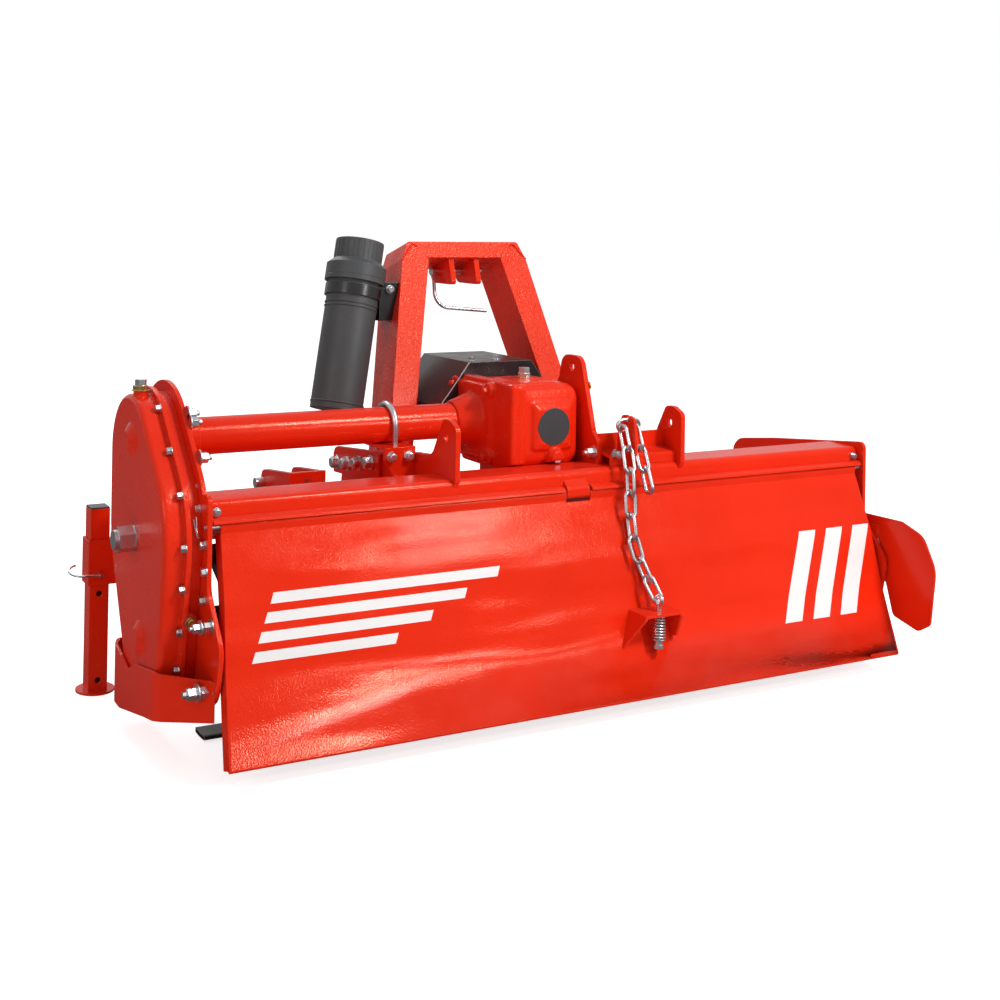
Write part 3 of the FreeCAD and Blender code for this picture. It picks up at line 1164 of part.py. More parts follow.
def make_document_tube():
    """Plastic tube with a screw cap, strapped beside the mast's left leg and leaning with it."""
    spread = (leg_middle(500) - leg_middle(800)) / 300
    tilt = math.tan(math.radians(v.mast_lean)) * 0.5
    axis = vec(spread, tilt, 1).normalize()
    radius, wall = v.tube_case_radius, v.tube_case_wall
    length = v.tube_case_length
    strap_z = v.mast_top - 110
    leg_x = -(leg_middle(strap_z) + v.mast_leg / 2)
    y = mast_rear_at(strap_z) + 46
    strap_mid = vec(leg_x - radius - 34, y, strap_z)
    base = strap_mid - axis * (length - 46)
    outside = rod("document_outside", base, axis, "Sizes.tube_case_radius", "Sizes.tube_case_length")
    lip = rod("document_lip", base + axis * (length - 26), axis, "Sizes.tube_case_radius + 9", "10")
    core = rod("document_core", base + axis * wall, axis, "Sizes.tube_case_radius - Sizes.tube_case_wall",
               "Sizes.tube_case_length")
    piece("document_tube", carve("document_tube", join("document_joined", outside, lip), core))
    cap_base = base + axis * (length - 15.7)
    cap_skin = rod("cap_skin", cap_base, axis, "Sizes.tube_case_radius + 9", "26")
    cap_slope = taper("cap_slope", cap_base + axis * 25.7, axis, "Sizes.tube_case_radius + 9",
                      "Sizes.tube_case_radius - 4", "12")
    cap_crown = rod("cap_crown", cap_base + axis * 37, axis, "Sizes.tube_case_radius - 4",
                    "Sizes.cap_case_length - 28")
    cap_room = rod("cap_room", cap_base - axis, axis, "Sizes.tube_case_radius + Sizes.cap_case_gap", "24")
    cap_bore = rod("cap_bore", cap_base, axis, "Sizes.tube_case_radius - 8", "Sizes.cap_case_length + 4")
    piece("document_cap", carve("document_cap", join("cap_joined", cap_skin, cap_slope, cap_crown), cap_room,
                                cap_bore))
    band = rod("strap_band", strap_mid - axis * 12, axis, "Sizes.tube_case_radius + 5", "24")
    room = rod("strap_room", strap_mid - axis * 140, axis, "Sizes.tube_case_radius + 0.1", "280")
    cap_space = rod("strap_cap_space", strap_mid + axis * 18, axis, "Sizes.tube_case_radius + 11", "90")
    arm = block("strap_arm", (leg_x - 42, y - 32, strap_z - 60), "72", "64", "82")
    arm_cut = leaned("strap_leg_room", loop_edges([
        (-leg_outer_at(-400), -400), (-leg_outer_at(0), 0), (0, 0), (0, -400)]), -150, "500")
    piece("tube_strap", carve("tube_strap", join("strap_joined", band, arm), room, cap_space,
                              arm_cut))
    return axis


def leg_outer_at(along):
    """Half width over the mast legs at a distance down the leaning arch."""
    lean = math.cos(math.radians(v.mast_lean))
    low = -(v.mast_top - v.beam_height - v.beam_size) / lean
    share = (along - low) / (-40 - low)
    return v.mast_foot_half + (v.mast_top_half - v.mast_foot_half) * share + 0.2


make_hood()
make_side_plates()
make_gear_case()
make_idler_nut()
make_oil_plugs()
make_drive_tube()
make_gearbox()
make_gusset()
make_pto_shaft()
make_rotor()
make_blades()
make_rotor_bearing()
make_mast()
make_top_link()
make_front_beam()
make_lower_hitch()
make_pto_guard()
make_deck_brackets()
make_chain_hook()
make_cross_plate()
make_tube_clamp()
make_stand()
make_skids()
make_deflector()
make_tailgate()
make_gate_bracket()
make_chain()
make_document_tube()

doc.recompute()

for thing in doc.Objects:
    bad = [state for state in thing.State if state in ("Invalid", "Error")]
    if bad:
        raise RuntimeError(f"{thing.Name} ({thing.Label}) did not compute: {thing.State}")
for node, thing in pieces.items():
    shape = thing.Shape
    if shape.isNull() or not shape.isValid() or not shape.Solids:
        raise RuntimeError(f"{node} has no valid solid")

os.makedirs("parts", exist_ok=True)
for node, thing in pieces.items():
    thing.Shape.exportStep(f"parts/{node}.step")
    print(node, len(thing.Shape.Solids), "solids", round(thing.Shape.Volume / 1000), "cm3")
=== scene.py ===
import math

import bmesh
import bpy
from mathutils import Euler, Matrix, Vector


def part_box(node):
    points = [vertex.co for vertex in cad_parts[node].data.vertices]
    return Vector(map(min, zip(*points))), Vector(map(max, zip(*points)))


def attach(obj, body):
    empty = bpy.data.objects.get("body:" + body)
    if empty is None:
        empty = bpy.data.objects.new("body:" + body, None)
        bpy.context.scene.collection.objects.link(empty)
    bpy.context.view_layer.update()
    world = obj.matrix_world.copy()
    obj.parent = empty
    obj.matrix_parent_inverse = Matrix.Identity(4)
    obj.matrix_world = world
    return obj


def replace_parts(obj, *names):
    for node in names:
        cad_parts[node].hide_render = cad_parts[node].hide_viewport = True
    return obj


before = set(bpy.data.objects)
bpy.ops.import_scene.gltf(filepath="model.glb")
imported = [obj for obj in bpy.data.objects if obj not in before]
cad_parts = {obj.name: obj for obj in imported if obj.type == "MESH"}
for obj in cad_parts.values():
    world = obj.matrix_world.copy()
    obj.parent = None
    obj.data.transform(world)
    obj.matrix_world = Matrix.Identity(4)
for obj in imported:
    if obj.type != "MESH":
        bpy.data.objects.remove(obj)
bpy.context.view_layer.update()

# The shop's paint: every pressed, welded and cast part is sprayed the same
# orange-red gloss after assembly. Its edges are mixed to a lighter red that is
# part thin, worn coat and part painted highlight, and it dries with a fine orange peel.

def put(tree, kind, inputs, **settings):
    """A node with its settings made and its inputs set or linked."""
    node = tree.nodes.new(kind)
    for name, value in settings.items():
        setattr(node, name, value)
    for name, value in inputs.items():
        if isinstance(value, bpy.types.NodeSocket):
            tree.links.new(value, node.inputs[name])
        else:
            node.inputs[name].default_value = value
    return node


def shading_group(name, inputs, outputs):
    """An empty shader group with float inputs, and outputs given as name and kind."""
    tree = bpy.data.node_groups.new(name, "ShaderNodeTree")
    for label, value in inputs:
        kind = "NodeSocketFloat" if isinstance(value, float) else "NodeSocketColor"
        socket = tree.interface.new_socket(label, in_out="INPUT", socket_type=kind)
        socket.default_value = value
    for label, kind in outputs:
        tree.interface.new_socket(label, in_out="OUTPUT", socket_type="NodeSocket" + kind)
    return tree, tree.nodes.new("NodeGroupInput").outputs, tree.nodes.new("NodeGroupOutput")


def maths(tree, operation, *values):
    """The result of one sum, from numbers or from other nodes' sockets."""
    node = tree.nodes.new("ShaderNodeMath")
    node.operation = operation
    for socket, value in zip(node.inputs, values):
        if isinstance(value, bpy.types.NodeSocket):
            tree.links.new(value, socket)
        else:
            socket.default_value = value
    return node.outputs[0]


def spread(tree, value, low, high):
    """A noise value of about 0.3 to 0.7 stretched between two numbers."""
    return put(tree, "ShaderNodeMapRange", {"Value": value, 1: 0.3, 2: 0.7, 3: low, 4: high}).outputs[0]


def build_sprayed_film():
    """Colour that drifts a little, gloss that streaks, and the peel and sags of a sprayed coat."""
    tree, given, out = shading_group(
        "sprayed_film",
        [("Colour", (0.8, 0.8, 0.8, 1.0)), ("Drift", 0.05), ("Peel Scale", 420.0), ("Gloss Low", 0.2),
         ("Gloss High", 0.3)],
        [("Colour", "Color"), ("Roughness", "Float"), ("Height", "Float")])
    place = tree.nodes.new("ShaderNodeTexCoord").outputs["Object"]
    cloud = put(tree, "ShaderNodeTexNoise", {"Vector": place, "Scale": 4.0, "Detail": 3.0}).outputs[0]
    gain = maths(tree, "ADD", 1.0, maths(tree, "MULTIPLY", given["Drift"], spread(tree, cloud, -1.0, 1.0)))
    shade = put(tree, "ShaderNodeVectorMath", {0: given["Colour"]}, operation="SCALE")
    tree.links.new(gain, shade.inputs["Scale"])
    streak = put(tree, "ShaderNodeTexNoise", {"Vector": place, "Scale": 26.0, "Detail": 4.0}).outputs[0]
    rough = put(tree, "ShaderNodeMapRange",
                {"Value": streak, 1: 0.3, 2: 0.7, 3: given["Gloss Low"], 4: given["Gloss High"]}).outputs[0]
    peel = put(tree, "ShaderNodeTexNoise", {
        "Vector": place, "Scale": given["Peel Scale"], "Detail": 1.0}).outputs[0]
    sag = put(tree, "ShaderNodeTexNoise", {"Vector": place, "Scale": 38.0, "Detail": 1.0}).outputs[0]
    height = maths(tree, "ADD", peel, maths(tree, "MULTIPLY", sag, 0.8))
    tree.links.new(shade.outputs[0], out.inputs["Colour"])
    tree.links.new(rough, out.inputs["Roughness"])
    tree.links.new(height, out.inputs["Height"])
    return tree


def build_worn_and_highlit_edge():
    """Along the edges, found by rounding them a little: the mask for a thin, chipped coat and for a painted
    edge highlight.
    """
    tree, given, out = shading_group(
        "worn_and_highlit_edge", [("Radius", 0.0015), ("Gain", 4.0)], [("Mask", "Float"), ("Normal", "Vector")])
    place = tree.nodes.new("ShaderNodeTexCoord").outputs["Object"]
    soft = put(tree, "ShaderNodeBevel", {"Radius": given["Radius"]}, samples=4).outputs[0]
    face = tree.nodes.new("ShaderNodeNewGeometry").outputs["Normal"]
    same = put(tree, "ShaderNodeVectorMath", {0: soft, 1: face}, operation="DOT_PRODUCT").outputs["Value"]
    away = maths(tree, "MULTIPLY", maths(tree, "SUBTRACT", 1.0, same), given["Gain"])
    chips = put(tree, "ShaderNodeTexNoise", {"Vector": place, "Scale": 90.0, "Detail": 5.0}).outputs[0]
    mask = put(tree, "ShaderNodeMath", {0: away, 1: spread(tree, chips, 0.1, 1.0)},
               operation="MULTIPLY", use_clamp=True).outputs[0]
    tree.links.new(mask, out.inputs["Mask"])
    tree.links.new(soft, out.inputs["Normal"])
    return tree


def build_settled_dust():
    """Fine dust in patches on the faces that look up while the machine stands parked."""
    tree, given, out = shading_group("settled_dust", [("Amount", 0.1)], [("Mask", "Float")])
    place = tree.nodes.new("ShaderNodeTexCoord").outputs["Object"]
    face = tree.nodes.new("ShaderNodeTexCoord").outputs["Normal"]
    up = put(tree, "ShaderNodeSeparateXYZ", {0: face}).outputs["Z"]
    flat = put(tree, "ShaderNodeMapRange", {"Value": up, 1: 0.5, 2: 1.0, 3: 0.0, 4: 1.0}).outputs[0]
    patch = put(tree, "ShaderNodeTexNoise", {"Vector": place, "Scale": 17.0, "Detail": 6.0}).outputs[0]
    lying = maths(tree, "MULTIPLY", flat, spread(tree, patch, 0.0, 1.0))
    mask = maths(tree, "MULTIPLY", lying, given["Amount"])
    tree.links.new(mask, out.inputs["Mask"])
    return tree


sprayed_film = build_sprayed_film()
worn_and_highlit_edge = build_worn_and_highlit_edge()
settled_dust = build_settled_dust()


DRY_SOIL = (0.55, 0.47, 0.40)


def finish(name, colour, edge_wear_and_highlight_colour, edge_share, film, edge, dust, bump, **surface):
    """A coated or bare surface made of the three shared effects round one Principled shader."""
    material = bpy.data.materials.new(name)
    material.use_nodes = True
    tree = material.node_tree
    shader = tree.nodes["Principled BSDF"]
    for label, value in surface.items():
        shader.inputs[label.replace("_", " ")].default_value = value
    skin = put(tree, "ShaderNodeGroup", {}, node_tree=sprayed_film)
    skin.inputs["Colour"].default_value = (*colour, 1.0)
    for label, value in film.items():
        skin.inputs[label].default_value = value
    rim = put(tree, "ShaderNodeGroup", {}, node_tree=worn_and_highlit_edge)
    rim.inputs["Radius"].default_value, rim.inputs["Gain"].default_value = edge
    bloom = put(tree, "ShaderNodeGroup", {}, node_tree=settled_dust)
    bloom.inputs["Amount"].default_value = dust
    # Every edge is mixed towards the lighter edge colour: partly the wear of a thin coat, partly a painted
    # highlight along the edge.
    share = maths(tree, "MULTIPLY", rim.outputs["Mask"], edge_share)
    worn_and_highlit_edges = put(tree, "ShaderNodeMix", {
        0: share, 6: skin.outputs["Colour"], 7: (*edge_wear_and_highlight_colour, 1.0)}, data_type="RGBA")
    dusty = put(tree, "ShaderNodeMix", {
        0: bloom.outputs["Mask"], 6: worn_and_highlit_edges.outputs[2], 7: (*DRY_SOIL, 1.0)}, data_type="RGBA")
    tree.links.new(dusty.outputs[2], shader.inputs["Base Color"])
    rough = maths(tree, "ADD", skin.outputs["Roughness"], bloom.outputs["Mask"])
    tree.links.new(rough, shader.inputs["Roughness"])
    relief = put(tree, "ShaderNodeBump", {
        "Height": skin.outputs["Height"], "Normal": rim.outputs["Normal"]})
    relief.inputs["Strength"].default_value, relief.inputs["Distance"].default_value = bump
    tree.links.new(relief.outputs[0], shader.inputs["Normal"])
    return material


def dress(material, *names):
    """Puts a material in every slot of these CAD nodes."""
    for name in names:
        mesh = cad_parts[name].data
        if not mesh.materials:
            mesh.materials.append(material)
        for slot in range(len(mesh.materials)):
            mesh.materials[slot] = material


RED = (0.80, 0.022, 0.004)
# A lighter red mixed in along the edges: partly the thin, worn coat, partly a painted highlight.
WEAR_AND_HIGHLIGHT_RED = (1.0, 0.13, 0.06)
gloss_red = finish("gloss_red_enamel", RED, WEAR_AND_HIGHLIGHT_RED, 0.55,
                   {"Drift": 0.06, "Peel Scale": 330.0, "Gloss Low": 0.14, "Gloss High": 0.24},
                   (0.0018, 6.0), 0.03, (0.45, 0.0007), Specular_IOR_Level=0.4,
                   Specular_Tint=(1.0, 0.42, 0.28, 1.0), Coat_Weight=0.04, Coat_Roughness=0.08)
dress(gloss_red, "hood", "left_side_plate", "right_side_plate", "drive_tube", "deck_brackets", "cross_plate",
      "chain_hook", "tube_clamp", "beam_arms", "front_beam", "lower_hitch_ears", "gusset_spacer",
      "gearbox_gusset", "side_deflector", "left_skid", "right_skid", "gate_bracket", "top_link_ears")

# The three-point mast: two folded channel legs and a top channel, welded at
# the mitres. It is sprayed last and thickest, so its flat backs carry the
# coarsest peel on the machine.

mast_red = finish("mast_enamel", (0.82, 0.028, 0.008), WEAR_AND_HIGHLIGHT_RED, 0.5,
                  {"Drift": 0.05, "Peel Scale": 260.0, "Gloss Low": 0.22, "Gloss High": 0.34},
                  (0.003, 5.0), 0.03, (0.75, 0.0012), Specular_IOR_Level=0.5,
                  Specular_Tint=(1.0, 0.45, 0.3, 1.0), Coat_Weight=0.05, Coat_Roughness=0.12)
dress(mast_red, "mast")

# The gear case is a cast cover bolted to a shallow cast base: sand-cast iron
# whose grain still shows under the paint.

cast_red = finish("cast_red_enamel", RED, WEAR_AND_HIGHLIGHT_RED, 0.45,
                  {"Drift": 0.07, "Peel Scale": 150.0, "Gloss Low": 0.16, "Gloss High": 0.30},
                  (0.0035, 4.0), 0.03, (0.34, 0.0014), Specular_IOR_Level=0.45,
                  Specular_Tint=(1.0, 0.45, 0.3, 1.0), Coat_Weight=0.08, Coat_Roughness=0.06)
dress(cast_red, "gear_case", "gearbox", "stand_leg", "stand_sleeve")

# The tailgate is one folded sheet hung under the hood. Its pressed face is
# slightly wavy, and it carries plain white bars of sprayed trim: three tall
# slanted ones to the right and four level ones, each shorter, to the left.

def build_gate_enamel():
    material = gloss_red.copy()
    material.name = "tailgate_enamel"
    tree = material.node_tree
    shader = tree.nodes["Principled BSDF"]
    place = put(tree, "ShaderNodeSeparateXYZ", {0: tree.nodes.new("ShaderNodeTexCoord").outputs["Object"]})
    across, up = place.outputs["X"], place.outputs["Z"]

    def between(value, low, high):
        above = maths(tree, "GREATER_THAN", value, low)
        below = maths(tree, "LESS_THAN", value, high)
        return maths(tree, "MULTIPLY", above, below)

    facing = put(tree, "ShaderNodeSeparateXYZ", {0: tree.nodes.new("ShaderNodeTexCoord").outputs["Normal"]})
    outer_face = maths(tree, "LESS_THAN", facing.outputs["Y"], -0.3)
    lean = maths(tree, "SUBTRACT", across, maths(tree, "MULTIPLY", up, 0.45))
    tall_width, tall_foot, tall_top = 0.045, 0.13, 0.30
    level_start, level_height = -0.78, 0.017
    bars = None
    for left in (0.40, 0.475, 0.55):
        bar = maths(tree, "MULTIPLY",
                    between(lean, left, left + tall_width), between(up, tall_foot, tall_top))
        bars = bar if bars is None else maths(tree, "MAXIMUM", bars, bar)
    for low, end in ((0.285, -0.33), (0.255, -0.39), (0.225, -0.45), (0.195, -0.51)):
        bar = maths(tree, "MULTIPLY",
                    between(lean, level_start, end), between(up, low, low + level_height))
        bars = maths(tree, "MAXIMUM", bars, bar)
    film = maths(tree, "MULTIPLY", bars, outer_face)
    paint = shader.inputs["Base Color"].links[0].from_socket
    trim = put(tree, "ShaderNodeMix", {0: film, 6: paint, 7: (0.86, 0.86, 0.85, 1.0)}, data_type="RGBA")
    tree.links.new(trim.outputs[2], shader.inputs["Base Color"])
    relief = next(node for node in tree.nodes if node.type == "BUMP")
    place = tree.nodes.new("ShaderNodeTexCoord").outputs["Object"]
    drawn_out = put(tree, "ShaderNodeMapping", {"Vector": place, "Scale": (0.45, 1.0, 1.9)}).outputs[0]
    wave = put(tree, "ShaderNodeTexNoise", {"Vector": drawn_out, "Scale": 6.0, "Detail": 1.0}).outputs[0]
    pressed = put(tree, "ShaderNodeBump", {
        "Height": wave, "Normal": relief.inputs["Normal"].links[0].from_socket})
    pressed.inputs["Strength"].default_value = 0.5
    pressed.inputs["Distance"].default_value = 0.03
    tree.links.new(pressed.outputs[0], relief.inputs["Normal"])
    return material


dress(build_gate_enamel(), "tailgate")

# Black enamel: the folded guard over the drive shaft, the rotor with its
# blades, and the strap that holds the document tube.

black_enamel = finish("black_enamel", (0.012, 0.012, 0.013), (0.30, 0.30, 0.31), 0.75,
                      {"Drift": 0.2, "Peel Scale": 420.0, "Gloss Low": 0.24, "Gloss High": 0.38},
                      (0.002, 8.0), 0.10, (0.25, 0.0005), Coat_Weight=0.2, Coat_Roughness=0.2)
dress(black_enamel, "pto_guard", "rotor_shaft", "rotor_bearing", "tube_strap")

# The hoe blades are forged spring steel, dipped in black paint that is
# already rubbed to bright steel along the cutting edges; the lighter edges
# are also partly a painted highlight.

blade_black = finish("blade_enamel", (0.014, 0.014, 0.015), (0.48, 0.47, 0.45), 0.9,
                     {"Drift": 0.3, "Peel Scale": 160.0, "Gloss Low": 0.28, "Gloss High": 0.5},
                     (0.004, 9.0), 0.12, (0.35, 0.0008))
dress(blade_black, "rotor_blades")

# Zinc plate: bolts, nuts, pins, the chain, its spring and eye bolt, and the
# U-bolt. Bright, faintly bluish and cloudy where it was handled.

bright_zinc = finish("bright_zinc_plate", (0.70, 0.72, 0.75), (0.92, 0.93, 0.95), 0.6,
                     {"Drift": 0.18, "Peel Scale": 700.0, "Gloss Low": 0.20, "Gloss High": 0.38},
                     (0.0008, 4.0), 0.04, (0.15, 0.0003), Metallic=1.0)
dress(bright_zinc, "idler_nut", "oil_plugs", "top_link_pin", "hinge_rod", "u_bolt", "stand_pin", "eye_bolt",
      "chain", "lower_hitch_pins")

# Brass: the sockets of the oil fillers and the level plug are turned brass,
# left bare and gone dull.

dull_brass = finish("dull_brass", (0.52, 0.34, 0.12), (0.85, 0.66, 0.32), 0.5,
                    {"Drift": 0.25, "Peel Scale": 600.0, "Gloss Low": 0.24, "Gloss High": 0.42},
                    (0.0008, 4.0), 0.05, (0.15, 0.0003), Metallic=1.0)

# The input shaft is machined from bar and oiled, with six splines.

turned_steel = finish("turned_steel", (0.52, 0.52, 0.53), (0.85, 0.85, 0.86), 0.6,
                      {"Drift": 0.1, "Peel Scale": 900.0, "Gloss Low": 0.16, "Gloss High": 0.3},
                      (0.001, 5.0), 0.03, (0.12, 0.0003), Metallic=1.0)
dress(turned_steel, "pto_shaft")

# Moulded plastic: the gearbox's end cap and the stand's cap are smooth, and
# the document tube is blow-moulded with a fine pebble grain.

smooth_plastic = finish("smooth_dark_plastic", (0.045, 0.045, 0.047), (0.16, 0.16, 0.165), 0.5,
                        {"Drift": 0.12, "Peel Scale": 500.0, "Gloss Low": 0.34, "Gloss High": 0.48},
                        (0.0015, 4.0), 0.10, (0.2, 0.0003))
dress(smooth_plastic, "gearbox_cap", "stand_cap")
pebble_plastic = finish("pebbled_dark_plastic", (0.060, 0.063, 0.065), (0.20, 0.205, 0.21), 0.55,
                        {"Drift": 0.15, "Peel Scale": 650.0, "Gloss Low": 0.42, "Gloss High": 0.56},
                        (0.002, 4.0), 0.12, (0.5, 0.0006))
dress(pebble_plastic, "document_tube", "document_cap")

# Screws and nuts: zinc-plated hexagon heads on washers hold the gear case's
# rim, the side plates, the brackets and the guard.

def shape_tree(name, sockets):
    """An empty Geometry Nodes tree with a geometry input and the named inputs."""
    tree = bpy.data.node_groups.new(name, "GeometryNodeTree")
    tree.interface.new_socket("Geometry", in_out="INPUT", socket_type="NodeSocketGeometry")
    for label, kind, value in sockets:
        socket = tree.interface.new_socket(label, in_out="INPUT", socket_type="NodeSocket" + kind)
        if value is not None:
            socket.default_value = value
    tree.interface.new_socket("Geometry", in_out="OUTPUT", socket_type="NodeSocketGeometry")
    return tree, tree.nodes.new("NodeGroupInput").outputs, tree.nodes.new("NodeGroupOutput")


def lifted(tree, shape, height):
    """A shape moved up by a height."""
    rise = put(tree, "ShaderNodeCombineXYZ", {"Z": height}).outputs[0]
    return put(tree, "GeometryNodeTransform", {"Geometry": shape, "Translation": rise}).outputs[0]


def closing(tree, out, shape, material):
    """Every tree ends as real mesh in one material."""
    real = put(tree, "GeometryNodeRealizeInstances", {"Geometry": shape}).outputs[0]
    coated = put(tree, "GeometryNodeSetMaterial", {"Geometry": real, "Material": material}).outputs[0]
    tree.links.new(coated, out.inputs[0])


def build_hexagon_heads():
    """A head, its chamfer, its washer and the thread's end, in units of the width across flats."""
    tree, given, out = shape_tree("hexagon_heads", [
        ("Head Height", "Float", 0.62), ("Washer Radius", "Float", 0.86), ("Washer Gauge", "Float", 0.14),
        ("Thread Out", "Float", 0.0), ("Seed", "Int", 5), ("Finish", "Material", None)])
    base = given["Washer Gauge"]
    washer = put(tree, "GeometryNodeMeshCylinder", {
        "Vertices": 24, "Radius": given["Washer Radius"], "Depth": base}).outputs["Mesh"]
    head = put(tree, "GeometryNodeMeshCylinder", {
        "Vertices": 6, "Radius": 0.577, "Depth": given["Head Height"]}).outputs["Mesh"]
    middle = maths(tree, "ADD", base, maths(tree, "MULTIPLY", given["Head Height"], 0.5))
    top = maths(tree, "ADD", base, given["Head Height"])
    crown = put(tree, "GeometryNodeMeshCone", {
        "Vertices": 18, "Radius Bottom": 0.5, "Radius Top": 0.40, "Depth": 0.06}).outputs["Mesh"]
    thread = put(tree, "GeometryNodeMeshCylinder", {
        "Vertices": 12, "Radius": 0.30, "Depth": maths(tree, "ADD", given["Thread Out"], 0.02)}).outputs["Mesh"]
    tip = maths(tree, "ADD", top, maths(tree, "MULTIPLY", given["Thread Out"], 0.5))
    bolt = tree.nodes.new("GeometryNodeJoinGeometry")
    for part in (lifted(tree, washer, maths(tree, "MULTIPLY", base, 0.5)), lifted(tree, head, middle),
                 lifted(tree, crown, top), lifted(tree, thread, tip)):
        tree.links.new(part, bolt.inputs[0])
    aim = put(tree, "GeometryNodeInputNamedAttribute", {"Name": "aim"}, data_type="FLOAT_VECTOR").outputs[0]
    flats = put(tree, "GeometryNodeInputNamedAttribute", {"Name": "flats"}, data_type="FLOAT").outputs[0]
    stand = put(tree, "FunctionNodeAlignRotationToVector", {"Vector": aim}, axis="Z").outputs[0]
    spin = put(tree, "FunctionNodeRandomValue", {
        "Seed": given["Seed"], 2: 0.0, 3: 1.05}, data_type="FLOAT").outputs[1]
    turn = put(tree, "FunctionNodeAxisAngleToRotation", {"Axis": (0.0, 0.0, 1.0), "Angle": spin}).outputs[0]
    wrench = put(tree, "FunctionNodeRotateRotation", {0: stand, 1: turn}, rotation_space="LOCAL").outputs[0]
    placed = put(tree, "GeometryNodeInstanceOnPoints", {
        "Points": given["Geometry"], "Instance": bolt.outputs[0],
        "Rotation": wrench, "Scale": flats}).outputs[0]
    closing(tree, out, placed, given["Finish"])
    return tree


def grown(name, tree, mesh, values, body):
    """Runs a tree over a mesh and leaves the result as one plain piece on a body."""
    piece = bpy.data.objects.new(name, mesh)
    bpy.context.scene.collection.objects.link(piece)
    modifier = piece.modifiers.new("shape", "NODES")
    modifier.node_group = tree
    for item in tree.interface.items_tree:
        if item.in_out == "INPUT" and item.name in values:
            modifier[item.identifier] = values[item.name]
    result = piece.evaluated_get(bpy.context.evaluated_depsgraph_get())
    solid = bpy.data.meshes.new_from_object(result)
    piece.modifiers.remove(modifier)
    piece.data = solid
    solid.name = name
    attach(piece, body)
    return piece


def seats(name, rows):
    """Points with the way each head faces and its width across flats, from (place, way, flats) in mm."""
    mesh = bpy.data.meshes.new(name)
    mesh.from_pydata([Vector(place) * 0.001 for place, way, flats in rows], [], [])
    mesh.attributes.new("aim", "FLOAT_VECTOR", "POINT")
    mesh.attributes.new("flats", "FLOAT", "POINT")
    for i, (place, way, flats) in enumerate(rows):
        mesh.attributes["aim"].data[i].vector = way
        mesh.attributes["flats"].data[i].value = flats * 0.001
    return mesh


hexagon_heads = build_hexagon_heads()
LEFT, RIGHT, BACK, UP = (-1, 0, 0), (1, 0, 0), (0, -1, 0), (0, 0, 1)
case_rim = [(12, 595), (-56, 529), (-116, 463), (-142, 378), (-135, 307), (-125, 232), (-115, 165),
            (159, 246), (192, 313), (202, 387), (203, 462), (197, 536), (154, 596)]
plate_row = [(-96, 470), (-120, 438), (-150, 383), (-158, 340), (-152, 290), (-150, 240)]
bracket_row = [(350, 409), (298, 414), (242, 424), (186, 435)]
guard_low, guard_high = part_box("pto_guard")
guard_top, guard_back = 1000 * guard_high.z, 1000 * guard_low.y + 30
screws = [
    *(((-784, y, z), LEFT, 12) for y, z in case_rim),
    *(((-753, y, z), LEFT, 13) for y, z in plate_row),
    ((0, guard_back, guard_top), UP, 13),
    ((-60, guard_back, guard_top), UP, 10),
    *(((x, -146, 437), BACK, 11) for x in (-732, 732)),
    *(((-275, y, z), LEFT, 22) for y, z in bracket_row),
    *(((x, 8, 478), BACK, 15) for x in (-320, -282)),
    ((-192, 279, 786), BACK, 13),
]
case_screws = grown("case_screws", hexagon_heads, seats("case_screws", screws),
                    {"Finish": bright_zinc, "Head Height": 0.6, "Washer Radius": 0.7}, "frame")

nuts = [
    *(((-745, y, z), RIGHT, 17) for y, z in ((-20, 588), (-34, 574), (-88, 520))),
    ((-753, -190, 256), LEFT, 15),
    ((-772, -190, 256), LEFT, 15),
    ((-753, -192, 149), LEFT, 20),
    ((-776, -192, 149), LEFT, 20),
    *(((753, y, z), RIGHT, 17) for y, z in ((-190, 256), (-192, 149))),
    ((86, -88, 477), LEFT, 17),
    ((110, -133, 478), BACK, 13),
]
plate_nuts = grown("plate_nuts", hexagon_heads, seats("plate_nuts", nuts),
                   {"Finish": bright_zinc, "Head Height": 0.8, "Thread Out": 0.4}, "frame")

# Brass sockets under the two oil fillers and round the level plug, screwed
# into the castings with a flat spanner hexagon.

sockets = [((-802, 72, 620.5), UP, 25), ((-12, 20, 618.5), UP, 24), ((-773, -144.5, 252), BACK, 15),
           ((96, -52, 606), RIGHT, 13)]
grown("brass_sockets", hexagon_heads, seats("brass_sockets", sockets),
      {"Finish": dull_brass, "Head Height": 0.30, "Washer Radius": 0.66, "Washer Gauge": 0.06}, "frame")

# The chain's spring: hard-drawn wire wound cold into a close coil round the
# eye bolt.

def build_wound_spring():
    tree, given, out = shape_tree("wound_spring", [
        ("Radius", "Float", 0.01), ("Wire", "Float", 0.002), ("Length", "Float", 0.05),
        ("Turns", "Float", 9.0), ("Seat", "Vector", None), ("Finish", "Material", None)])
    line = put(tree, "GeometryNodeCurveSpiral", {
        "Resolution": 28, "Rotations": given["Turns"], "Start Radius": given["Radius"],
        "End Radius": given["Radius"], "Height": given["Length"]}).outputs[0]
    section = put(tree, "GeometryNodeCurvePrimitiveCircle", {
        "Resolution": 12, "Radius": given["Wire"]}).outputs[0]
    wire = put(tree, "GeometryNodeCurveToMesh", {
        "Curve": line, "Profile Curve": section, "Fill Caps": True}).outputs[0]
    placed = put(tree, "GeometryNodeTransform", {"Geometry": wire, "Translation": given["Seat"]}).outputs[0]
    closing(tree, out, placed, given["Finish"])
    return tree


low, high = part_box("chain_spring")
spring_wire = 0.0019
coil = grown("spring_coil", build_wound_spring(), bpy.data.meshes.new("spring_coil"), {
    "Radius": (high.x - low.x) / 2 - spring_wire, "Wire": spring_wire,
    "Length": high.z - low.z - 2 * spring_wire, "Turns": 7.5,
    "Seat": ((low.x + high.x) / 2, (low.y + high.y) / 2, low.z + spring_wire),
    "Finish": bright_zinc}, "tailgate")
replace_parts(coil, "chain_spring")

# The chain: short-link welded steel chain from the hook down to the eye bolt,
# each link a quarter turn from the one before, with three spare links hanging
# free. The last two links lie in the eye bolt's ring and swing up with it.

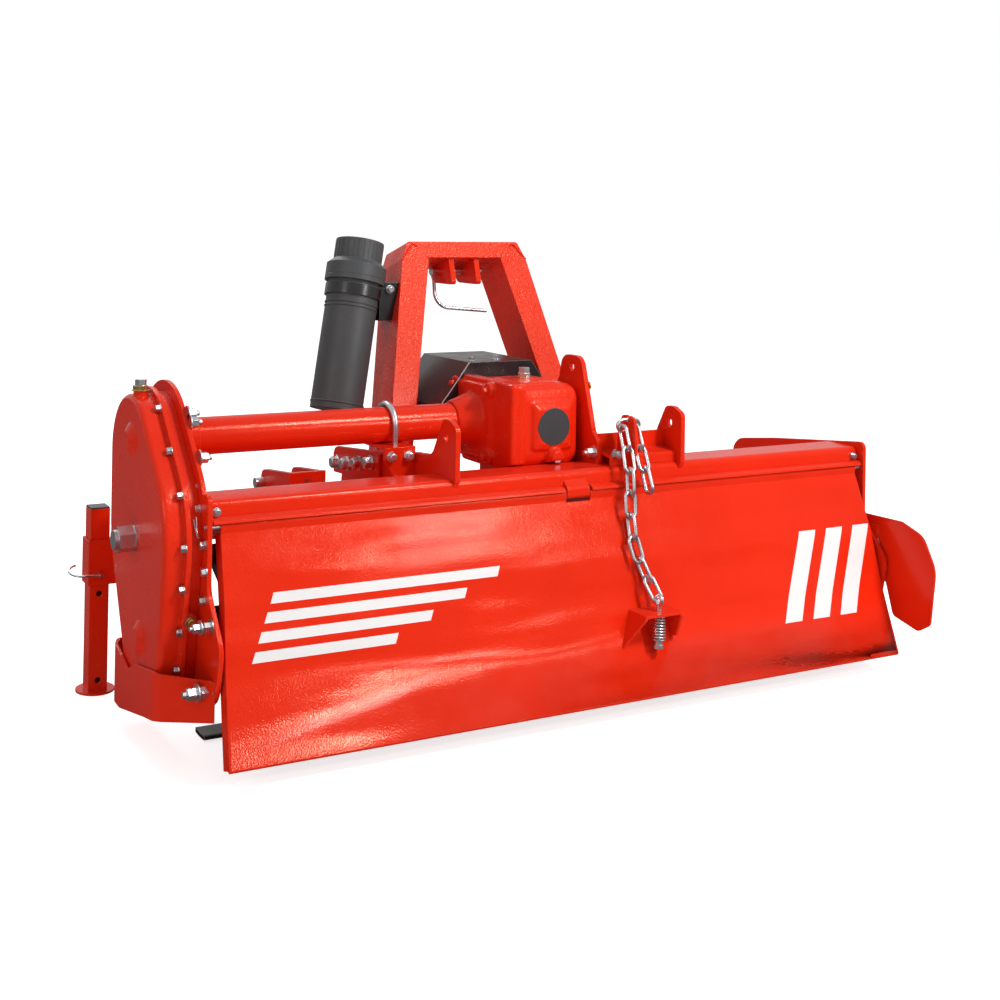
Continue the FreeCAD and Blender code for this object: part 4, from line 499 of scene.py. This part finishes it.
def build_short_links():
    tree, given, out = shape_tree("short_links", [
        ("Inside Length", "Float", 0.042), ("Half Width", "Float", 0.009), ("Wire", "Float", 0.003),
        ("Finish", "Material", None)])
    tall = maths(tree, "ADD", given["Inside Length"], maths(tree, "MULTIPLY", given["Wire"], 2.0))
    wide = maths(tree, "MULTIPLY", given["Half Width"], 2.0)
    oblong = put(tree, "GeometryNodeCurvePrimitiveQuadrilateral", {
        "Width": wide, "Height": tall}).outputs[0]
    bow = put(tree, "GeometryNodeFilletCurve", {
        "Curve": oblong, "Radius": given["Half Width"], "Limit Radius": True, "Count": 7},
        mode="POLY").outputs[0]
    section = put(tree, "GeometryNodeCurvePrimitiveCircle", {
        "Resolution": 10, "Radius": given["Wire"]}).outputs[0]
    link = put(tree, "GeometryNodeCurveToMesh", {"Curve": bow, "Profile Curve": section}).outputs[0]
    upright = put(tree, "GeometryNodeTransform", {
        "Geometry": link, "Rotation": (math.pi / 2, 0.0, 0.0)}).outputs[0]
    turn = put(tree, "GeometryNodeInputNamedAttribute", {"Name": "turn"}, data_type="FLOAT_VECTOR").outputs[0]
    placed = put(tree, "GeometryNodeInstanceOnPoints", {
        "Points": given["Geometry"], "Instance": upright,
        "Rotation": put(tree, "FunctionNodeEulerToRotation", {"Euler": turn}).outputs[0]}).outputs[0]
    closing(tree, out, placed, given["Finish"])
    return tree


def link_row(centres, first):
    """Each link's centre in mm and its turn; first says whether the first link lies across or along."""
    row = []
    for i, centre in enumerate(centres):
        here, there = centres[max(i - 1, 0)], centres[min(i + 1, len(centres) - 1)]
        along = (Vector(there) - Vector(here)).normalized()
        across = (Vector((1, 0, 0)) - along * along.x).normalized()
        side = along.cross(across)
        if (i + first) % 2:
            across, side = side, -across
        row.append((centre, Matrix((across, side, along)).transposed().to_euler()))
    return row


taut = link_row([(117.7, -149.6, 512.1), (116.3, -166.1, 472.4), (112.6, -177.4, 430.8),
                 (108.6, -184.2, 388.5), (104.9, -194.2, 347.1), (105.6, -207.9, 306.9),
                 (116.6, -219.2, 267.7), (126.1, -236.2, 234.9)], 1)
spare = link_row([(149.5, -148.6, 511.6), (149.5, -165.8, 472.3), (149.5, -182.9, 432.9)], 1)
saddle = [((133.5, -140.0, 536.0), Euler((0.0, math.pi / 2, 0.0)))]
short_links = build_short_links()


def hang_links(name, row, body):
    """One piece of chain, a link at each centre of a row."""
    links = bpy.data.meshes.new(name)
    links.from_pydata([Vector(place) * 0.001 for place, turn in row], [], [])
    links.attributes.new("turn", "FLOAT_VECTOR", "POINT")
    for i, (place, turn) in enumerate(row):
        links.attributes["turn"].data[i].vector = turn
    chain = grown(name, short_links, links, {
        "Inside Length": 0.0429, "Half Width": 0.0112, "Wire": 0.0040, "Finish": bright_zinc}, body)
    chain.data.shade_smooth()
    return chain


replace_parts(hang_links("chain_links", saddle + taut[:-2] + spare, "chain"), "chain")
hang_links("ring_links", taut[-2:], "tailgate")

# The gearbox: a sand-cast iron housing with rounded corners, a stepped boss
# round the bearing cap, a collar towards the drive tube and four bolt lobes on
# the flange. It stands on the hood and is bolted to the gusset and the guard.

def solid_box(form, low, high, radius):
    """A block between two corners in mm, its edges rounded."""
    low, high = Vector(low) * 0.001, Vector(high) * 0.001
    made = bmesh.ops.create_cube(form, size=1.0)["verts"]
    for corner in made:
        corner.co = [low[i] + (corner.co[i] + 0.5) * (high[i] - low[i]) for i in range(3)]
    edges = list({edge for corner in made for edge in corner.link_edges})
    bmesh.ops.bevel(form, geom=edges, offset=radius * 0.001, segments=4, profile=0.5, affect="EDGES")


def solid_bar(form, start, end, radius):
    """A round bar between two points in mm."""
    start, end = Vector(start) * 0.001, Vector(end) * 0.001
    way = end - start
    place = Matrix.Translation((start + end) / 2) @ way.to_track_quat("Z", "Y").to_matrix().to_4x4()
    bmesh.ops.create_cone(form, cap_ends=True, segments=40, radius1=radius * 0.001, radius2=radius * 0.001,
                          depth=way.length, matrix=place)


form = bmesh.new()
for low, high, rounding in (
        ((-94, -66, 446), (75, 122, 614), 32),  # housing
        ((-98, -71.5, 441), (-80, 127, 618), 8),  # its outer rim
        ((-84, -69, 443.5), (-60, 124, 616.5), 10),  # its inner rim
        ((-60, -46, 606), (24, 62, 617), 4),  # pad on the top
        ((-107, -4, 455), (-90, 148, 607), 7),  # flange to the drive tube
        ((-47, -73, 484), (47, -58, 578), 6),  # step round the end cap
        ((-40, -75.6, 492), (40, -60, 570), 5),  # face of the end cap
        ((-62, 12, 392), (62, 112, 500), 5)):  # foot on the hood
    solid_box(form, low, high, rounding)
lobes = ((6, 597), (6, 465), (138, 597), (138, 465))
for y, z in lobes:
    solid_bar(form, (-109, y, z), (-86, y, z), 16)
    solid_bar(form, (-92, y, z), (-60, y, z), 12)
for start, end, radius in (
        ((6, -85, 469), (6, -60, 469), 15.5),  # boss of the drain plug
        ((6, -77, 469), (6, -60, 469), 19),
        ((-12, 20, 610), (-12, 20, 619), 18),  # boss of the oil filler
        ((0, 118, 531), (0, 134, 531), 51)):  # nose towards the guard
    solid_bar(form, start, end, radius)
bell = Matrix.Translation((-0.126, 0.072, 0.531)) @ Matrix.Rotation(math.pi / 2, 4, "Y")
bmesh.ops.create_cone(form, cap_ends=True, segments=48, radius1=0.0395, radius2=0.061, depth=0.058,
                      matrix=bell)
hood_point, hood_normal = (0, -0.055, 0.4545), (0, 0.3395, 0.9406)
everything = form.verts[:] + form.edges[:] + form.faces[:]
bmesh.ops.bisect_plane(form, geom=everything, plane_co=hood_point, plane_no=hood_normal, clear_inner=True)
bmesh.ops.holes_fill(form, edges=[edge for edge in form.edges if edge.is_boundary])
cast_mesh = bpy.data.meshes.new("gearbox_casting")
form.to_mesh(cast_mesh)
form.free()
casting = bpy.data.objects.new("gearbox_casting", cast_mesh)
bpy.context.scene.collection.objects.link(casting)
sand = casting.modifiers.new("sand", "REMESH")
sand.mode, sand.voxel_size = "VOXEL", 0.0025
rubbed = casting.modifiers.new("rubbed", "SMOOTH")
rubbed.factor, rubbed.iterations = 0.5, 7
shaft_room = 21.2
form = bmesh.new()
solid_bar(form, (0, 92, 531), (0, 140, 531), shaft_room)
drill_mesh = bpy.data.meshes.new("drill")
form.to_mesh(drill_mesh)
form.free()
drill = bpy.data.objects.new("drill", drill_mesh)
bore = casting.modifiers.new("bore", "BOOLEAN")
bore.operation, bore.object, bore.solver = "DIFFERENCE", drill, "EXACT"
solid = bpy.data.meshes.new_from_object(casting.evaluated_get(bpy.context.evaluated_depsgraph_get()))
casting.modifiers.clear()
casting.data = solid
bpy.data.objects.remove(drill)
solid.name = "gearbox_casting"
solid.materials.clear()
solid.materials.append(cast_red)
solid.shade_smooth()
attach(casting, "frame")
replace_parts(casting, "gearbox")
painted = [((-108.5, y, z), LEFT, 13) for y, z in lobes]
lobe_bolts = grown("lobe_bolts", hexagon_heads, seats("lobe_bolts", painted),
                   {"Finish": cast_red, "Head Height": 0.6, "Washer Radius": 0.7}, "frame")

# A doubler plate is bolted flat against the left bracket with four heavy
# screws: 8 mm plate, its upper front corner cut round.

def sheared(name, outline, start, end, edge, material, across=True):
    """A plate in mm: an outline of (Y, Z) and thick across the machine, or of (X, Z) and thick along it."""
    form = bmesh.new()
    ends = [[form.verts.new(Vector((depth, flat, z) if across else (flat, depth, z)) * 0.001)
             for flat, z in outline] for depth in (start, end)]
    for i in range(len(outline)):
        j = (i + 1) % len(outline)
        form.faces.new((ends[0][i], ends[0][j], ends[1][j], ends[1][i]))
    form.faces.new(ends[0][::-1])
    form.faces.new(ends[1])
    bmesh.ops.recalc_face_normals(form, faces=form.faces)
    if edge:
        bmesh.ops.bevel(form, geom=form.edges[:], offset=edge * 0.001, segments=2, affect="EDGES")
    mesh = bpy.data.meshes.new(name)
    form.to_mesh(mesh)
    form.free()
    mesh.materials.append(material)
    piece = bpy.data.objects.new(name, mesh)
    bpy.context.scene.collection.objects.link(piece)
    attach(piece, "frame")
    return piece


doubler = [(152, 396), (372, 384), (374, 424), (368, 436), (356, 442), (160, 462), (152, 456)]
sheared("bracket_doubler", doubler, -275, -267.2, 1.0, gloss_red)

# Along the hood's rear edge a narrow lip is folded over the hinge, so that no
# soil comes out between hood and tailgate. It stops on both sides of the clip.

fold = [(-141, 427.5), (-146.5, 427.8), (-154.8, 426.6), (-160.6, 422.8), (-162.4, 418.6), (-161.0, 418.2),
        (-159.3, 421.8), (-154.2, 425.1), (-146.5, 426.1), (-141, 426.0)]
for name, start, end in (("hinge_lip_left", -742, -27), ("hinge_lip_right", 35, 742)):
    sheared(name, fold, start, end, 0, gloss_red)

# The guard over the input shaft is a roof of 3 mm sheet that reaches forward
# between the mast's legs, folded from one piece and painted black.

roof = [(-150, 503), (-150, 551), (-82, 641), (70, 641), (138, 551), (138, 503),
        (135, 503), (135, 550), (69, 638), (-81, 638), (-147, 550), (-147, 503)]
sheared("guard_roof", roof, 224, 322, 0, black_enamel, across=False)

# Welds and wires: the welds along the mast's feet and mitres, the hook and the
# gusset are rows of overlapping ripples laid by hand. The guard's sheared edge
# is bare steel, and a bent wire clip holds the pin in the rear lobe.

def build_laid_wire():
    """A round wire or weld bead along a line, its girth swelling from ripple to ripple."""
    tree, given, out = shape_tree("laid_wire", [
        ("Wire", "Float", 0.0015), ("Step", "Float", 0.0015), ("Ripple", "Float", 0.0), ("Seed", "Int", 3),
        ("Finish", "Material", None)])
    line = put(tree, "GeometryNodeMeshToCurve", {"Mesh": given["Geometry"]}).outputs[0]
    smooth = put(tree, "GeometryNodeCurveSplineType", {"Curve": line}, spline_type="CATMULL_ROM").outputs[0]
    fine = put(tree, "GeometryNodeResampleCurve", {
        "Curve": smooth, "Length": given["Step"]}, mode="LENGTH").outputs[0]
    count = tree.nodes.new("GeometryNodeInputIndex").outputs[0]
    beat = maths(tree, "SINE", maths(tree, "MULTIPLY", count, 1.7))
    hand = put(tree, "FunctionNodeRandomValue", {
        "Seed": given["Seed"], 2: -1.0, 3: 1.0}, data_type="FLOAT").outputs[1]
    uneven = maths(tree, "ADD", beat, maths(tree, "MULTIPLY", hand, 0.4))
    swell = maths(tree, "MULTIPLY", uneven, given["Ripple"])
    section = put(tree, "GeometryNodeCurvePrimitiveCircle", {
        "Resolution": 8, "Radius": given["Wire"]}).outputs[0]
    girth = maths(tree, "ADD", 1.0, swell)
    bead = put(tree, "GeometryNodeCurveToMesh", {
        "Curve": fine, "Profile Curve": section, "Scale": girth, "Fill Caps": True}).outputs[0]
    closing(tree, out, bead, given["Finish"])
    return tree


def paths(name, lines):
    """A mesh of open lines through points in mm."""
    points, joins = [], []
    for line in lines:
        joins += [(len(points) + i, len(points) + i + 1) for i in range(len(line) - 1)]
        points += [Vector(point) * 0.001 for point in line]
    mesh = bpy.data.meshes.new(name)
    mesh.from_pydata(points, joins, [])
    return mesh


laid_wire = build_laid_wire()


def lay(name, lines, wire, step, ripple, coat):
    """Lays a wire or a bead along lines in mm and leaves it smooth on the frame."""
    piece = grown(name, laid_wire, paths(name, lines),
                  {"Wire": wire, "Step": step, "Ripple": ripple, "Finish": coat}, "frame")
    piece.data.shade_smooth()


seams = []
for side in (-1, 1):
    seams.append([(side * 204, 160, 388), (side * 257, 150, 390.5)])
    seams.append([(side * 158, 289, 849.5), (side * 128, 298, 884)])
    seams.append([(side * 92, 289, 850.5), (side * 104, 297, 868), (side * 128, 298, 884)])
seams += [[(x, -103, 457), (x, -58, 457)] for x in (85.5, 96.5)]
seams += [[(x, -106, 457), (x, -130, 457)] for x in (131.5, 138.5)]
lay("weld_beads", seams, 0.0024, 0.0018, 0.22, gloss_red)
bare = [(-150.4, 121.6, 503), (-150.4, 121.6, 527), (-150.4, 121.6, 551), (-127, 121.6, 582),
        (-104, 121.6, 612), (-82, 121.6, 641.4)]
lay("guard_edge", [bare], 0.0014, 0.004, 0.0, bright_zinc)
clip = [(-763, -118, 437), (-766, -126, 428), (-766, -133, 414), (-764, -138, 400), (-762, -141, 392),
        (-764, -146, 398), (-766, -144, 408), (-764, -138, 418), (-763, -132, 428)]
lay("spring_clip", [clip], 0.0013, 0.002, 0.0, bright_zinc)

# The document tube is moulded plastic. Its cap has upright grip ribs round the
# crown, and the tube has two thin rings under its strap and one at its foot.

def build_grip_ribs():
    tree, given, out = shape_tree("grip_ribs", [
        ("Ribs", "Int", 36), ("Radius", "Float", 0.05), ("Rib Width", "Float", 0.003),
        ("Rib Depth", "Float", 0.004), ("Length", "Float", 0.03), ("Seat", "Vector", None),
        ("Lean", "Vector", None), ("Finish", "Material", None)])
    ring = put(tree, "GeometryNodeMeshCircle", {
        "Vertices": given["Ribs"], "Radius": given["Radius"]}).outputs[0]
    size = put(tree, "ShaderNodeCombineXYZ", {
        "X": given["Rib Depth"], "Y": given["Rib Width"], "Z": given["Length"]}).outputs[0]
    rib = put(tree, "GeometryNodeMeshCube", {"Size": size}).outputs[0]
    count = tree.nodes.new("GeometryNodeInputIndex").outputs[0]
    angle = maths(tree, "DIVIDE", maths(tree, "MULTIPLY", count, 2 * math.pi), given["Ribs"])
    facing = put(tree, "ShaderNodeCombineXYZ", {"Z": angle}).outputs[0]
    ribs = put(tree, "GeometryNodeInstanceOnPoints", {
        "Points": ring, "Instance": rib,
        "Rotation": put(tree, "FunctionNodeEulerToRotation", {"Euler": facing}).outputs[0]}).outputs[0]
    placed = put(tree, "GeometryNodeTransform", {
        "Geometry": ribs, "Translation": given["Seat"],
        "Rotation": put(tree, "FunctionNodeEulerToRotation", {"Euler": given["Lean"]}).outputs[0]}).outputs[0]
    closing(tree, out, placed, given["Finish"])
    return tree


tube_way = Vector((0.20896, 0.14777, 0.9667))
cap_foot = Vector((-256.8, 316.85, 807.29))
crown_height, crown_radius, rib_length, rib_width = 59, 51.4, 38, 2.6
cap_ribs = grown("cap_crown_ribs", build_grip_ribs(), bpy.data.meshes.new("cap_crown_ribs"), {
    "Ribs": 30, "Radius": crown_radius * 0.001, "Rib Width": rib_width * 0.001, "Rib Depth": 0.0026,
    "Length": rib_length * 0.001, "Seat": tuple((cap_foot + tube_way * crown_height) * 0.001),
    "Lean": tuple(tube_way.to_track_quat("Z", "Y").to_euler()), "Finish": pebble_plastic}, "document_cap")
tube_foot = Vector((-316.21, 274.83, 532.46))
ring_radius = 56.3
across = tube_way.cross(Vector((1, 0, 0))).normalized()
beside = tube_way.cross(across)
round_about = [2 * math.pi * i / 48 for i in range(49)]
hoops = [[tube_foot + tube_way * height + (across * math.cos(a) + beside * math.sin(a)) * ring_radius
          for a in round_about] for height in (226, 218, 14)]
lay("tube_rings", hoops, 0.0016, 0.006, 0.0, pebble_plastic)

# The studio: a wide pale floor under an even sky. A soft key light hangs high
# over the right end with a smaller one below it, a weak fill stands on the
# left, and a broad one lights the rims from the front.

floor_mesh = bpy.data.meshes.new("studio_floor")
form = bmesh.new()
bmesh.ops.create_grid(form, x_segments=2, y_segments=2, size=30)
form.to_mesh(floor_mesh)
form.free()
floor = bpy.data.objects.new("studio_floor", floor_mesh)
bpy.context.scene.collection.objects.link(floor)
pale = bpy.data.materials.new("pale_floor")
pale.use_nodes = True
ground = pale.node_tree
surface = ground.nodes["Principled BSDF"]
surface.inputs["Roughness"].default_value = 0.9
surface.inputs["Emission Color"].default_value = (1.0, 1.0, 1.0, 1.0)
lit = ground.nodes.new("ShaderNodeLightPath").outputs["Is Camera Ray"]
ground.links.new(maths(ground, "MULTIPLY", lit, 0.74), surface.inputs["Emission Strength"])
place = ground.nodes.new("ShaderNodeTexCoord").outputs["Object"]
speck = put(ground, "ShaderNodeTexNoise", {"Vector": place, "Scale": 3.0, "Detail": 2.0}).outputs[0]
tone = put(ground, "ShaderNodeMix", {
    0: speck, 6: (0.90, 0.90, 0.91, 1), 7: (0.93, 0.93, 0.94, 1)}, data_type="RGBA")
shiny = ground.nodes["Light Path"].outputs["Is Glossy Ray"]
dull = put(ground, "ShaderNodeMix", {
    0: shiny, 6: tone.outputs[2], 7: (0.10, 0.10, 0.10, 1)}, data_type="RGBA")
ground.links.new(dull.outputs[2], surface.inputs["Base Color"])
floor_mesh.materials.append(pale)


def soft_light(name, place, aim, size, power):
    """A square lamp at a place, turned to what it lights."""
    lamp = bpy.data.lights.new(name, "AREA")
    lamp.size, lamp.energy = size, power
    holder = bpy.data.objects.new(name, lamp)
    holder.location = place
    holder.rotation_euler = (Vector(aim) - Vector(place)).to_track_quat("-Z", "Y").to_euler()
    bpy.context.scene.collection.objects.link(holder)


soft_light("key_light", (1.5, -2.6, 3.8), (0, 0, 0.3), 0.7, 110)
soft_light("side_light", (1.4, -2.95, 1.85), (0, 0, 0.35), 0.4, 24)
soft_light("fill_light", (-3.8, -1.6, 2.0), (0, 0, 0.4), 1.0, 16)
soft_light("rim_light", (-0.5, 3.2, 3.4), (0, 0, 0.5), 1.6, 60)
sky = bpy.data.worlds.new("even_sky")
sky.use_nodes = True
air = sky.node_tree
path = air.nodes.new("ShaderNodeLightPath").outputs
lighting, seen_more, glossy_more = 0.36, 0.64, 0.2
seen = maths(air, "ADD", maths(air, "MULTIPLY", path["Is Camera Ray"], seen_more), lighting)
strength = maths(air, "ADD", seen, maths(air, "MULTIPLY", path["Is Glossy Ray"], glossy_more))
air.nodes["Background"].inputs["Color"].default_value = (1.0, 1.0, 1.0, 1.0)
air.links.new(strength, air.nodes["Background"].inputs["Strength"])
bpy.context.scene.world = sky
bpy.context.scene.view_settings.view_transform = "Standard"

# The camera stands behind the machine and to its left, a little higher than
# the mast, with a normal lens shifted to set the machine in the frame.

lens = bpy.data.cameras.new("camera")
lens.sensor_width = 36.0
lens.lens = 1.4088 * lens.sensor_width
lens.shift_x, lens.shift_y = 0.1, -0.3
lens.clip_end = 100
camera = bpy.data.objects.new("camera", lens)
camera.location = (-1.5647, -2.4241, 0.9591)
camera.rotation_euler = Euler((math.radians(90.36), math.radians(-0.96), math.radians(-27.29)))
bpy.context.scene.collection.objects.link(camera)
bpy.context.scene.camera = camera
